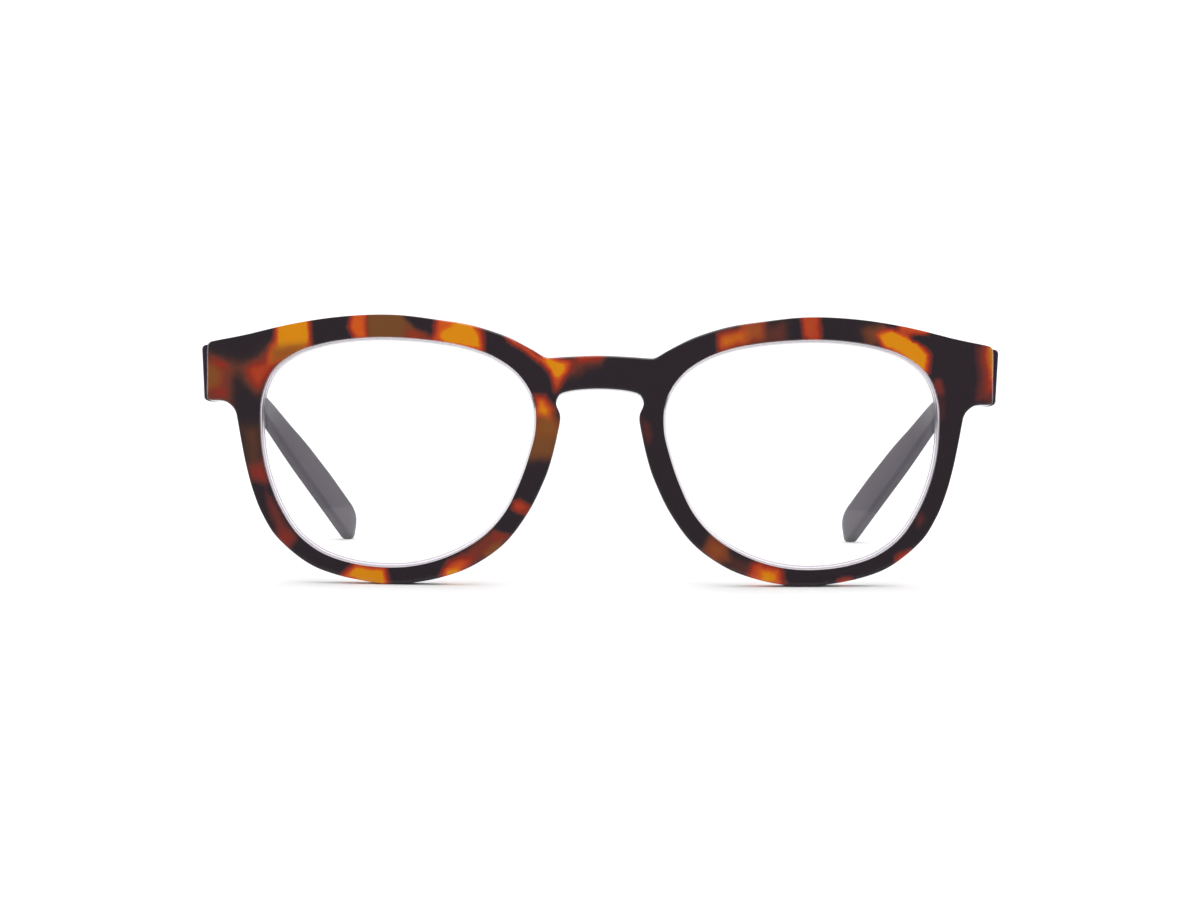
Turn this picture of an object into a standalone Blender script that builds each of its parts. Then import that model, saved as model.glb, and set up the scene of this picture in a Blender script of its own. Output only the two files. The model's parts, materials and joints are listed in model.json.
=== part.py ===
"""Reading glasses: tortoiseshell front with a keyhole bridge, clear lenses and two folding temples.

Everything is built upright in the front's own frame, X across, Y rearwards and Z up, with the
foremost point of the bridge at Y = 0 and the lowest point of the rims at Z = 0. The whole pair is
then leaned back until it stands on both rims and both temple tips. Left is the wearer's left, at +X.
"""
import math

import bpy
import bmesh
from mathutils import Matrix, Vector
from mathutils.geometry import delaunay_2d_cdt

# Front: the openings, the rims round them and the endpieces
LENS_WIDTH = 0.04935
LENS_HEIGHT = 0.0408
BRIDGE_GAP = 0.0224
RIM_TOP = 0.0040
RIM_BOTTOM = 0.00285
RIM_SIDE = 0.0042
ENDPIECE_LENGTH = 0.0057
FRONT_THICKNESS = 0.0040
ENDPIECE_THICKNESS = 0.0042
ENDPIECE_STEP = 0.0010
FRONT_BOW_RADIUS = 0.4000
EDGE_ROUND = 0.0006
OUTLINE_STEP = 0.0026

# Lenses and the groove that holds them
LENS_EDGE_THICKNESS = 0.0016
LENS_SHOULDER = 0.0002
LENS_BEVEL = 0.0006
LENS_FRONT_BULGE = 0.0012
LENS_BACK_BULGE = 0.00065
GROOVE_CLEARANCE = 0.0002

# Nose pads
PAD_LENGTH = 0.0135
PAD_WIDTH = 0.0028
PAD_DEPTH = 0.0046
PAD_FLARE = 0.0008
PAD_GLUE_GAP = 0.0003

# Hinges
LEAF_HEIGHT = 0.0066
LEAF_THICKNESS = 0.0008
FRONT_LEAF_WIDTH = 0.0046
TEMPLE_LEAF_LENGTH = 0.0090
LEAF_SEAT_GAP = 0.00015
KNUCKLE_RADIUS = 0.00125
KNUCKLE_GAP = 0.00012
HINGE_CLEARANCE = 0.0002
HINGE_SCREW_RADIUS = 0.00055
HINGE_BORE_RADIUS = 0.00063
HINGE_HEAD_RADIUS = 0.0011
HINGE_HEAD_HEIGHT = 0.0005
LEAF_SCREW_RADIUS = 0.00040
LEAF_SCREW_HOLE_RADIUS = 0.00055
LEAF_SCREW_HEAD_RADIUS = 0.0009
LEAF_SCREW_HEAD_HEIGHT = 0.00035
LEAF_SCREW_DEPTH = 0.0012
SCREW_SLOT_WIDTH = 0.0003
SCREW_SLOT_DEPTH = 0.00018
SCREW_SEAT_GAP = 0.0001

# Temples
TEMPLE_LENGTH = 0.1400
TEMPLE_TIP_LENGTH = 0.0500
TEMPLE_BEND_LENGTH = 0.0260
TEMPLE_STRAIGHT_START = 0.0120
TEMPLE_PROUD = 0.0018
TEMPLE_FRONT_THICKNESS = 0.0036
TEMPLE_FRONT_HEIGHT = 0.0102
TEMPLE_TIP_THICKNESS = 0.0026
TEMPLE_TIP_HEIGHT = 0.0060
TEMPLE_CORNER_ROUND = 0.0008
TEMPLE_BUTT_GAP = 0.0003
TEMPLE_STATION_STEP = 0.0052
CORE_WIRE_RADIUS = 0.00045
CORE_BORE_RADIUS = 0.00060
CORE_WIRE_FRONT_SETBACK = 0.0010
CORE_WIRE_TIP_SETBACK = 0.0140
CORE_BORE_END_ROOM = 0.0004

# How deep the resting flats are cut, and how far cutters reach past what they cut
FOOT_FLAT_DEPTH = 0.00012
CUT_OVERRUN = 0.0010

# Angles
TIP_DROP_ANGLE = math.radians(30)
TIP_INWARD_ANGLE = math.radians(20)
TEMPLE_SPLAY_ANGLE = math.radians(1.8)
TEMPLE_BOW_ANGLE = math.radians(1.2)

# Places that follow from the sizes
NASAL_EDGE = BRIDGE_GAP / 2
TEMPORAL_EDGE = NASAL_EDGE + LENS_WIDTH
LENS_CENTRE_X = NASAL_EDGE + LENS_WIDTH / 2
END_SPAN = RIM_SIDE + ENDPIECE_LENGTH
HALF_WIDTH = TEMPORAL_EDGE + END_SPAN
FRONT_HEIGHT = RIM_BOTTOM + LENS_HEIGHT + RIM_TOP
LENS_CENTRE_Z = RIM_BOTTOM + LENS_HEIGHT / 2

# The outer outline runs round one half from the bridge's top to its underside. Each stretch gives
# x as a share of its own span and z as a share of the front's height.
BRIDGE_TOP_SHARES = ((0.0, 0.8499), (0.494, 0.8455), (0.755, 0.8416), (0.88, 0.8446))
BROW_SHARES = ((0.029, 0.8783), (0.114, 0.922), (0.231, 0.9603), (0.348, 0.9803), (0.522, 1.0),
               (0.699, 0.9947), (0.875, 0.9698), (1.055, 0.9291))
ENDPIECE_SHARES = ((0.864, 0.9064), (0.962, 0.8993), (1.0, 0.8781), (0.996, 0.7759),
                   (0.992, 0.7003), (0.951, 0.6841), (0.746, 0.6819), (0.622, 0.6754),
                   (0.507, 0.6566), (0.448, 0.6356), (0.419, 0.6105), (0.336, 0.5216),
                   (0.242, 0.434), (0.115, 0.3436))
CHEEK_SHARES = ((0.987, 0.2552), (0.93, 0.1669), (0.823, 0.0773), (0.713, 0.0315), (0.572, 0.003),
                (0.518, 0.0), (0.458, 0.001), (0.344, 0.0222), (0.227, 0.0662), (0.112, 0.1496),
                (0.028, 0.2638))
KEYHOLE_SHARES = ((0.869, 0.3853), (0.746, 0.4721), (0.657, 0.5642), (0.624, 0.6087),
                  (0.631, 0.6338), (0.671, 0.6547), (0.689, 0.6753), (0.656, 0.6957),
                  (0.591, 0.7092), (0.367, 0.7207), (0.0, 0.7257))
# The left opening, as shares of its half width and half height about its centre
OPENING_SHARES = ((0.1245, 1.0), (0.3354, 0.9873), (0.5441, 0.948), (0.7446, 0.8691),
                  (0.911, 0.7154), (0.9906, 0.4817), (0.9985, 0.2267), (0.9776, -0.0275),
                  (0.9224, -0.2738), (0.8357, -0.5067), (0.7153, -0.7159), (0.5473, -0.8688),
                  (0.3492, -0.9559), (0.1406, -0.9951), (-0.0705, -0.9941), (-0.2775, -0.9451),
                  (-0.4727, -0.8483), (-0.6481, -0.7067), (-0.7849, -0.5132), (-0.878, -0.2841),
                  (-0.9484, -0.0432), (-0.9958, 0.2055), (-0.9798, 0.4585), (-0.8718, 0.6754),
                  (-0.7016, 0.8249), (-0.504, 0.9142), (-0.2967, 0.9629), (-0.0866, 0.9898))
# Heights on the front, as shares of its height
HINGE_HEIGHT_SHARE = 0.794
ENDPIECE_FOOT_SHARE = 0.600
ENDPIECE_SHOULDER_SHARE = 0.665
NOSE_PAD_HEIGHT_SHARE = 0.470
# Sizes within small parts, as shares of the part's own size
NECK_WIDTH_SHARE = 0.7
FRONT_SCREW_HEIGHT_SHARE = 0.29
TEMPLE_SCREW_HEIGHT_SHARE = 0.29
TEMPLE_SCREW_PLACE_SHARES = (0.46, 0.80)
HINGE_SEAT_SHARES = (0.15, 0.85)
LENS_RING_SHARES = (0.45, 0.8)
SECTION_ROUND_SHARE = 0.95
SPLAY_EASE_SHARE = 0.25
MITRE_SHARE = 0.7
PLAN_TOLERANCE_SHARE = 0.0001

# Counts, angles and powers that set how finely round forms are drawn
ROUND_SIDES = 16
WIRE_SIDES = 8
SECTION_STEPS = 3
PAD_STATIONS = 8
PAD_END_POWER = 0.6
TIP_ROUND_DEGREES = (20, 38, 54, 68, 80)
STATION_SUBSTEPS = 8
SHARP_ANGLE = math.radians(35)
LARGEST_LEAN = math.radians(20)
LEAN_HALVINGS = 40
FRONT_KNUCKLES = (0, 2, 4)
TEMPLE_KNUCKLES = (1, 3)
KNUCKLE_COUNT = 5


def clear_scene():
    for thing in list(bpy.data.objects):
        bpy.data.objects.remove(thing, do_unlink=True)


def material(name, colour, roughness, metallic=0.0, transmission=0.0):
    made = bpy.data.materials.new(name)
    made.use_nodes = True
    shader = made.node_tree.nodes["Principled BSDF"]
    shader.inputs["Base Color"].default_value = (*colour, 1.0)
    shader.inputs["Roughness"].default_value = roughness
    shader.inputs["Metallic"].default_value = metallic
    shader.inputs["Transmission Weight"].default_value = transmission
    made.diffuse_color = (*colour, 1.0)
    return made


def smooth_share(value):
    """Ease from 0 to 1 as value goes from 0 to 1."""
    held = min(max(value, 0.0), 1.0)
    return held * held * (3 - 2 * held)


def catmull_rom(before, start, end, after, share):
    """A point on the smooth curve from start to end."""
    squared = share * share
    cubed = squared * share
    return (start * 2 + (end - before) * share
            + (before * 2 - start * 5 + end * 4 - after) * squared
            + (start * 3 - before - end * 3 + after) * cubed) / 2


def smooth_loop(knots):
    """A closed curve through the knots, with points about OUTLINE_STEP apart."""
    count = len(knots)
    points = []
    for index in range(count):
        before, start, end, after = (knots[(index + shift) % count] for shift in (-1, 0, 1, 2))
        pieces = max(1, round((end - start).length / OUTLINE_STEP))
        for piece in range(pieces):
            points.append(catmull_rom(before, start, end, after, piece / pieces))
    return points


def stretch(shares, start, span):
    return [Vector((start + across * span, up * FRONT_HEIGHT)) for across, up in shares]


def front_outline():
    """The closed outer outline, anticlockwise as seen from the front."""
    half = stretch(BRIDGE_TOP_SHARES, 0, NASAL_EDGE)
    half += stretch(BROW_SHARES, NASAL_EDGE, LENS_WIDTH)
    half += stretch(ENDPIECE_SHARES, TEMPORAL_EDGE, END_SPAN)
    half += stretch(CHEEK_SHARES, NASAL_EDGE, LENS_WIDTH)
    half += stretch(KEYHOLE_SHARES, 0, NASAL_EDGE)
    other = [Vector((-point.x, point.y)) for point in reversed(half[1:-1])]
    return list(reversed(smooth_loop(half + other)))


def opening_outline(side):
    """The opening's edge, clockwise as seen from the front, so the rim is on its left hand."""
    knots = [Vector((LENS_CENTRE_X + across * LENS_WIDTH / 2, LENS_CENTRE_Z + up * LENS_HEIGHT / 2))
             for across, up in OPENING_SHARES]
    points = smooth_loop(knots)
    if side < 0:
        points = [Vector((-point.x, point.y)) for point in reversed(points)]
    return points


def offset_loop(points, distance):
    """The loop moved to its left hand by distance."""
    moved = []
    count = len(points)
    for index, point in enumerate(points):
        arriving = (point - points[index - 1]).normalized()
        leaving = (points[(index + 1) % count] - point).normalized()
        along = (arriving + leaving).normalized()
        left = Vector((-along.y, along.x))
        widen = max(arriving.dot(along), MITRE_SHARE)
        moved.append(point + left * (distance / widen))
    return moved


def bow(across):
    """How far the front's face lies back at a place across it."""
    return across * across / (2 * FRONT_BOW_RADIUS)


ENDPIECE_BACK = bow(HALF_WIDTH) + ENDPIECE_THICKNESS
HINGE_Z = HINGE_HEIGHT_SHARE * FRONT_HEIGHT
TEMPLE_OUTER_X = HALF_WIDTH + TEMPLE_PROUD
TEMPLE_INNER_X = TEMPLE_OUTER_X - TEMPLE_FRONT_THICKNESS
HINGE_X = TEMPLE_INNER_X - KNUCKLE_RADIUS - KNUCKLE_GAP
HINGE_Y = ENDPIECE_BACK + KNUCKLE_RADIUS + HINGE_CLEARANCE
HINGE_PLACE = Vector((HINGE_X, HINGE_Y, HINGE_Z))
GROOVE_REACH = LENS_BEVEL + GROOVE_CLEARANCE
THICK_START = TEMPORAL_EDGE + GROOVE_REACH
ENDPIECE_FOOT = ENDPIECE_FOOT_SHARE * FRONT_HEIGHT
ENDPIECE_SHOULDER = ENDPIECE_SHOULDER_SHARE * FRONT_HEIGHT


def front_place(point, depth):
    """A point of the front, depth behind its face; the endpieces thicken to a flat back."""
    across, up = point
    face = bow(across)
    thick = smooth_share((abs(across) - THICK_START) / ENDPIECE_STEP)
    thick *= smooth_share((up - ENDPIECE_FOOT) / (ENDPIECE_SHOULDER - ENDPIECE_FOOT))
    extra = (ENDPIECE_BACK - FRONT_THICKNESS - face) * thick
    return Vector((across, face + depth + extra * depth / FRONT_THICKNESS, up))


def inside(point, loop):
    """Whether a point lies within a closed loop."""
    found = False
    for index, end in enumerate(loop):
        start = loop[index - 1]
        if (start.y > point.y) != (end.y > point.y):
            share = (point.y - start.y) / (end.y - start.y)
            if point.x < start.x + share * (end.x - start.x):
                found = not found
    return found


class Shell:
    """Points and faces of one closed body."""

    def __init__(self):
        self.points = []
        self.faces = []

    def ring(self, places):
        first = len(self.points)
        self.points.extend(places)
        return list(range(first, len(self.points)))

    def band(self, ring, following):
        count = len(ring)
        for index in range(count):
            after = (index + 1) % count
            self.faces.append((ring[index], ring[after], following[after], following[index]))

    def bands(self, rings):
        for ring, following in zip(rings, rings[1:]):
            self.band(ring, following)

    def fan(self, ring, place):
        middle = len(self.points)
        self.points.append(place)
        for index in range(len(ring)):
            self.faces.append((ring[index - 1], ring[index], middle))

    def flat_cap(self, loops, rings, seats, depth):
        """Triangles between the first loop and the others, with seats as extra flat rectangles."""
        plan = []
        edges = []
        numbers = []
        for loop, ring in zip(loops, rings):
            first = len(plan)
            plan.extend(loop)
            numbers.extend(ring)
            edges.extend(loop_edges(first, len(loop)))
        for seat in seats:
            first = len(plan)
            plan.extend(seat)
            numbers.extend(self.ring([front_place(corner, depth) for corner in seat]))
            edges.extend(loop_edges(first, len(seat)))
        found = delaunay_2d_cdt(plan, edges, [], 0, GROOVE_CLEARANCE * PLAN_TOLERANCE_SHARE)
        places, triangles, origins = found[0], found[2], found[3]
        for triangle in triangles:
            middle = sum((places[corner] for corner in triangle), Vector((0, 0))) / 3
            if inside(middle, loops[0]) and not any(inside(middle, loop) for loop in loops[1:]):
                self.faces.append(tuple(numbers[origins[corner][0]] for corner in triangle))

    def mesh(self, name):
        made = bpy.data.meshes.new(name)
        made.from_pydata([tuple(point) for point in self.points], [], self.faces)
        made.validate()
        tidy(made)
        return made


def loop_edges(first, count):
    return [(first + index, first + (index + 1) % count) for index in range(count)]


def tidy(mesh):
    """Point the faces outwards and split what isn't a triangle."""
    work = bmesh.new()
    work.from_mesh(mesh)
    bmesh.ops.recalc_face_normals(work, faces=work.faces)
    bmesh.ops.triangulate(work, faces=work.faces)
    work.to_mesh(mesh)
    work.free()


def rounded_edge(radius):
    """Offset and depth of the two points that round an edge, and of its end on the wall."""
    short = radius * (1 - math.sqrt(0.5))
    return ((radius, 0), (short, short), (0, radius))


def front_profile(grooved):
    """Offset into the material and depth of each ring, from the face to the back."""
    face = list(rounded_edge(EDGE_ROUND))
    back = [(offset, FRONT_THICKNESS - depth) for offset, depth in reversed(face)]
    if not grooved:
        return face + back
    middle = FRONT_THICKNESS / 2
    half = groove_half_height(0)
    groove = [(0, middle - half), (GROOVE_REACH, middle), (0, middle + half)]
    return face + groove + back


def groove_half_height(offset):
    """Half the groove's height at an offset outside the opening's edge."""
    slope = LENS_EDGE_THICKNESS / 2 / (LENS_BEVEL + LENS_SHOULDER)
    return (GROOVE_REACH - offset) * slope


def front_mesh():
    shell = Shell()
    faces, backs, face_rings, back_rings = [], [], [], []
    outlines = [(front_outline(), False)] + [(opening_outline(side), True) for side in (1, -1)]
    for outline, grooved in outlines:
        loops = [(offset_loop(outline, offset), depth) for offset, depth in front_profile(grooved)]
        rings = [shell.ring([front_place(point, depth) for point in loop]) for loop, depth in loops]
        shell.bands(rings)
        faces.append(loops[0][0])
        backs.append(loops[-1][0])
        face_rings.append(rings[0])
        back_rings.append(rings[-1])
    shell.flat_cap(faces, face_rings, [], 0)
    shell.flat_cap(backs, back_rings, [hinge_seat(side) for side in (1, -1)], FRONT_THICKNESS)
    return shell.mesh("front_frame")


def hinge_seat(side):
    """The flat on an endpiece's back, as corners seen from the front."""
    inner = THICK_START + ENDPIECE_STEP
    height = (HINGE_Z - ENDPIECE_SHOULDER) * 2
    low, high = (ENDPIECE_SHOULDER + share * height for share in HINGE_SEAT_SHARES)
    outer = HALF_WIDTH - EDGE_ROUND * 2
    corners = [Vector((inner, low)), Vector((outer, low)), Vector((outer, high)), Vector((inner, high))]
    return [Vector((side * corner.x, corner.y)) for corner in corners]


def lens_mesh(side):
    """A lens that follows the front's bow, thicker in its middle, with a V round its edge."""
    shell = Shell()
    outline = opening_outline(side)
    middle = FRONT_THICKNESS / 2
    half = LENS_EDGE_THICKNESS / 2
    centre = Vector((side * LENS_CENTRE_X, LENS_CENTRE_Z))
    shoulder = offset_loop(outline, -LENS_SHOULDER)
    apex = offset_loop(outline, LENS_BEVEL)

    def surface(share, depth, bulge):
        lift = bulge * (1 - share * share)
        points = [centre + (point - centre) * share for point in shoulder]
        return [Vector((point.x, bow(point.x) + depth - lift, point.y)) for point in points]

    shares = LENS_RING_SHARES + (1,)
    front_rings = [shell.ring(surface(share, middle - half, LENS_FRONT_BULGE)) for share in shares]
    back_rings = [shell.ring(surface(share, middle + half, LENS_BACK_BULGE)) for share in shares]
    apex_ring = shell.ring([Vector((point.x, bow(point.x) + middle, point.y)) for point in apex])
    shell.bands(front_rings + [apex_ring] + list(reversed(back_rings)))
    face = bow(centre.x) + middle
    shell.fan(front_rings[0], Vector((centre.x, face - half - LENS_FRONT_BULGE, centre.y)))
    shell.fan(back_rings[0], Vector((centre.x, face + half - LENS_BACK_BULGE, centre.y)))
    return shell.mesh("lens")


def nasal_edge_at(height):
    """How far out the front's nasal edge lies at a height."""
    outline = [point for point in front_outline() if 0 < point.x < LENS_CENTRE_X]
    crossings = []
    for start, end in zip(outline, outline[1:]):
        if min(start.y, end.y) <= height < max(start.y, end.y):
            crossings.append(start.x + (height - start.y) / (end.y - start.y) * (end.x - start.x))
    return min(crossings)


def nose_pad_mesh():
    """A glued pad: a lengthwise crescent that leans outwards as it goes back."""
    shell = Shell()
    rings = []
    middle = NOSE_PAD_HEIGHT_SHARE * FRONT_HEIGHT
    for station in range(1, PAD_STATIONS):
        turn = math.pi * station / PAD_STATIONS
        height = middle - math.cos(turn) * PAD_LENGTH / 2
        fullness = math.sin(turn) ** PAD_END_POWER
        edge = nasal_edge_at(height) + EDGE_ROUND
        ring = []
        for index in range(ROUND_SIDES):
            angle = 2 * math.pi * index / ROUND_SIDES
            back = (1 - math.cos(angle)) / 2 * PAD_DEPTH * fullness
            across = edge + PAD_WIDTH / 2 + math.sin(angle) * PAD_WIDTH / 2 * fullness
            across += PAD_FLARE * back / PAD_DEPTH
            ring.append(Vector((across, bow(across) + FRONT_THICKNESS + PAD_GLUE_GAP + back, height)))
        rings.append(shell.ring(ring))
    shell.bands(rings)
    for ring in (rings[0], rings[-1]):
        shell.faces.append(tuple(ring))
    return shell.mesh("nose_pad")


def section(half_thickness, half_height, radius):
    """A rounded rectangle as offsets outwards and upwards."""
    corners = ((1, 1, 0), (-1, 1, 1), (-1, -1, 2), (1, -1, 3))
    held = min(radius, half_thickness * SECTION_ROUND_SHARE, half_height * SECTION_ROUND_SHARE)
    points = []
    for across, up, quarter in corners:
        for step in range(SECTION_STEPS + 1):
            angle = math.pi / 2 * (quarter + step / SECTION_STEPS)
            points.append((across * (half_thickness - held) + held * math.cos(angle),
                           up * (half_height - held) + held * math.sin(angle)))
    return points


def temple_angles(distance):
    """Drop and inward turn of the temple at a distance from its front end."""
    straight = TEMPLE_LENGTH - TEMPLE_TIP_LENGTH
    bend = smooth_share((distance - straight + TEMPLE_BEND_LENGTH / 2) / TEMPLE_BEND_LENGTH)
    along = min(max((distance - TEMPLE_STRAIGHT_START) / (straight - TEMPLE_STRAIGHT_START), 0), 1)
    outward = TEMPLE_SPLAY_ANGLE * smooth_share(along / SPLAY_EASE_SHARE) * (1 - bend)
    outward += TEMPLE_BOW_ANGLE * math.sin(2 * math.pi * along)
    return TIP_DROP_ANGLE * bend, outward - TIP_INWARD_ANGLE * bend


def temple_line(distances):
    """Place, outward and upward directions at each distance along the left temple."""
    fine = TEMPLE_STATION_STEP / STATION_SUBSTEPS
    place = Vector((TEMPLE_OUTER_X - TEMPLE_FRONT_THICKNESS / 2, ENDPIECE_BACK + TEMPLE_BUTT_GAP, HINGE_Z))
    reached = 0.0
    frames = []
    for distance in distances:
        while reached < distance:
            stride = min(fine, distance - reached)
            drop, turn = temple_angles(reached + stride / 2)
            place = place + stride * direction(drop, turn)
            reached += stride
        drop, turn = temple_angles(distance)
        along = direction(drop, turn)
        outward = along.cross(Vector((0, 0, 1))).normalized()
        frames.append((place.copy(), outward, outward.cross(along)))
    return frames


def direction(drop, turn):
    return Vector((math.sin(turn) * math.cos(drop), math.cos(turn) * math.cos(drop), -math.sin(drop)))


def temple_distances():
    """Stations along a temple, closer together in the bend and round the tip."""
    body = TEMPLE_LENGTH - TEMPLE_TIP_HEIGHT / 2
    count = round(body / TEMPLE_STATION_STEP)
    distances = [body * index / count for index in range(count + 1)]
    for degrees in TIP_ROUND_DEGREES:
        distances.append(body + math.sin(math.radians(degrees)) * TEMPLE_TIP_HEIGHT / 2)
    return distances


def temple_mesh():
    """The left temple: a rounded bar that tapers, bends down behind the ear and ends round."""
    shell = Shell()
    distances = temple_distances()
    rings = []
    body = TEMPLE_LENGTH - TEMPLE_TIP_HEIGHT / 2
    for distance, (place, outward, upward) in zip(distances, temple_line(distances)):
        taper = smooth_share(distance / (TEMPLE_LENGTH - TEMPLE_TIP_LENGTH))
        thickness = TEMPLE_FRONT_THICKNESS + (TEMPLE_TIP_THICKNESS - TEMPLE_FRONT_THICKNESS) * taper
        height = TEMPLE_FRONT_HEIGHT + (TEMPLE_TIP_HEIGHT - TEMPLE_FRONT_HEIGHT) * taper
        past = max(distance - body, 0) / (TEMPLE_TIP_HEIGHT / 2)
        rounding = math.sqrt(1 - past * past)
        points = section(thickness / 2 * math.sqrt(rounding), height / 2 * rounding, TEMPLE_CORNER_ROUND)
        rings.append(shell.ring([place + outward * across + upward * up for across, up in points]))
    shell.bands(rings)
    for ring in (rings[0], rings[-1]):
        shell.faces.append(tuple(ring))
    return shell.mesh("temple")


def rod_mesh(start, end, radius):
    """A round rod along the temple's line."""
    shell = Shell()
    count = max(2, round((end - start) / TEMPLE_STATION_STEP))
    distances = [start + (end - start) * index / count for index in range(count + 1)]
    line = temple_line([max(distance, 0) for distance in distances])
    rings = []
    for distance, (place, outward, upward) in zip(distances, line):
        along = upward.cross(outward)
        centre = place + along * min(distance, 0)
        ring = []
        for index in range(WIRE_SIDES):
            angle = 2 * math.pi * index / WIRE_SIDES
            ring.append(centre + (outward * math.cos(angle) + upward * math.sin(angle)) * radius)
        rings.append(shell.ring(ring))
    shell.bands(rings)
    for ring in (rings[0], rings[-1]):
        shell.faces.append(tuple(ring))
    return shell.mesh("rod")


def box_mesh(low, high):
    shell = Shell()
    rings = []
    for up in (low.z, high.z):
        rings.append(shell.ring([Vector((low.x, low.y, up)), Vector((high.x, low.y, up)),
                                 Vector((high.x, high.y, up)), Vector((low.x, high.y, up))]))
    shell.band(rings[0], rings[1])
    for ring in rings:
        shell.faces.append(tuple(ring))
    return shell.mesh("box")


def cylinder_mesh(start, end, radius):
    """A round bar between two points."""
    shell = Shell()
    along = (end - start).normalized()
    across = along.orthogonal().normalized()
    other = along.cross(across)
    rings = []
    for place in (start, end):
        ring = []
        for index in range(ROUND_SIDES):
            angle = 2 * math.pi * (index + 0.5) / ROUND_SIDES
            ring.append(place + (across * math.cos(angle) + other * math.sin(angle)) * radius)
        rings.append(shell.ring(ring))
    shell.band(rings[0], rings[1])
    for ring in rings:
        shell.faces.append(tuple(ring))
    return shell.mesh("cylinder")


def combined(base, tools, operation):
    """The base mesh after a Boolean with each tool mesh in turn."""
    thing = bpy.data.objects.new("work", base)
    bpy.context.scene.collection.objects.link(thing)
    for tool in tools:
        other = bpy.data.objects.new("tool", tool)
        bpy.context.scene.collection.objects.link(other)
        modifier = thing.modifiers.new("combine", "BOOLEAN")
        modifier.operation = operation
        modifier.object = other
        bpy.context.view_layer.update()
        evaluated = thing.evaluated_get(bpy.context.evaluated_depsgraph_get())
        result = bpy.data.meshes.new_from_object(evaluated)
        thing.modifiers.remove(modifier)
        thing.data = result
        bpy.data.objects.remove(other, do_unlink=True)
    result = thing.data
    bpy.data.objects.remove(thing, do_unlink=True)
    tidy(result)
    return result


def knuckle_span(number):
    """Lowest and highest point of a knuckle, counted from the bottom."""
    pitch = LEAF_HEIGHT / KNUCKLE_COUNT
    bottom = HINGE_Z - LEAF_HEIGHT / 2 + number * pitch
    return bottom + KNUCKLE_GAP / 2, bottom + pitch - KNUCKLE_GAP / 2


def hinge_leaf(plate, numbers, neck_way, neck_reach):
    """A plate with knuckles round the hinge's axis, each joined by a neck that goes neck_way."""
    tools = []
    half = KNUCKLE_RADIUS * NECK_WIDTH_SHARE
    for number in numbers:
        bottom, top = knuckle_span(number)
        tools.append(cylinder_mesh(Vector((HINGE_X, HINGE_Y, bottom)), Vector((HINGE_X, HINGE_Y, top)),
                                   KNUCKLE_RADIUS))
        side = Vector((-neck_way.y, neck_way.x, 0)) * half
        far = neck_way * neck_reach
        corners = [side, -side, far + side, far - side]
        low = Vector((min(corner.x for corner in corners), min(corner.y for corner in corners), 0))
        high = Vector((max(corner.x for corner in corners), max(corner.y for corner in corners), 0))
        axis = Vector((HINGE_X, HINGE_Y, 0))
        tools.append(box_mesh(axis + low + Vector((0, 0, bottom)), axis + high + Vector((0, 0, top))))
    leaf = combined(plate, tools, "UNION")
    reach = Vector((0, 0, LEAF_HEIGHT))
    return combined(leaf, [cylinder_mesh(HINGE_PLACE - reach, HINGE_PLACE + reach, HINGE_BORE_RADIUS)],
                    "DIFFERENCE")


def front_leaf_box(grow):
    """The plate on the endpiece, or with grow its seat."""
    half = LEAF_HEIGHT / 2 + grow
    back = ENDPIECE_BACK + (CUT_OVERRUN if grow else 0)
    floor = ENDPIECE_BACK - LEAF_THICKNESS - grow
    return box_mesh(Vector((HINGE_X - FRONT_LEAF_WIDTH - grow, floor, HINGE_Z - half)),
                    Vector((HINGE_X + KNUCKLE_RADIUS + grow, back, HINGE_Z + half)))


def temple_leaf_box(grow):
    """The plate on the temple, or with grow its seat, which runs out at the temple's front end."""
    half = LEAF_HEIGHT / 2 + grow
    start = HINGE_Y - KNUCKLE_RADIUS
    inner = TEMPLE_INNER_X
    if grow:
        start = ENDPIECE_BACK - CUT_OVERRUN
        inner = TEMPLE_INNER_X - CUT_OVERRUN
    return box_mesh(Vector((inner, start, HINGE_Z - half)),
                    Vector((TEMPLE_INNER_X + LEAF_THICKNESS + grow, HINGE_Y + TEMPLE_LEAF_LENGTH + grow,
                            HINGE_Z + half)))


def front_screw_places():
    across = HINGE_X - KNUCKLE_RADIUS - (FRONT_LEAF_WIDTH - KNUCKLE_RADIUS) / 2
    rise = LEAF_HEIGHT * FRONT_SCREW_HEIGHT_SHARE
    return {"upper": Vector((across, ENDPIECE_BACK, HINGE_Z + rise)),
            "lower": Vector((across, ENDPIECE_BACK, HINGE_Z - rise))}


def temple_screw_places():
    rise = LEAF_HEIGHT * TEMPLE_SCREW_HEIGHT_SHARE
    near, far = (HINGE_Y + TEMPLE_LEAF_LENGTH * share for share in TEMPLE_SCREW_PLACE_SHARES)
    return {"front": Vector((TEMPLE_INNER_X, near, HINGE_Z + rise)),
            "rear": Vector((TEMPLE_INNER_X, far, HINGE_Z - rise))}


def screw_mesh(seat, inward, head_radius, head_height, shank_radius, shank_length, slot_way):
    """A slotted screw whose head rests on seat and whose shank goes inward."""
    head_foot = seat - inward * SCREW_SEAT_GAP
    head_top = head_foot - inward * head_height
    head = cylinder_mesh(head_foot, head_top, head_radius)
    shank = cylinder_mesh(head_foot - inward * head_height / 2, seat + inward * shank_length, shank_radius)
    screw = combined(head, [shank], "UNION")
    slot_side = inward.cross(slot_way) * SCREW_SLOT_WIDTH / 2
    slot_end = slot_way * (head_radius + CUT_OVERRUN)
    floor = head_top + inward * SCREW_SLOT_DEPTH
    above = head_top - inward * CUT_OVERRUN
    corners = [base + along + aside for base in (floor, above) for along in (slot_end, -slot_end)
               for aside in (slot_side, -slot_side)]
    low = Vector([min(corner[axis] for corner in corners) for axis in range(3)])
    high = Vector([max(corner[axis] for corner in corners) for axis in range(3)])
    return combined(screw, [box_mesh(low, high)], "DIFFERENCE")


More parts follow.
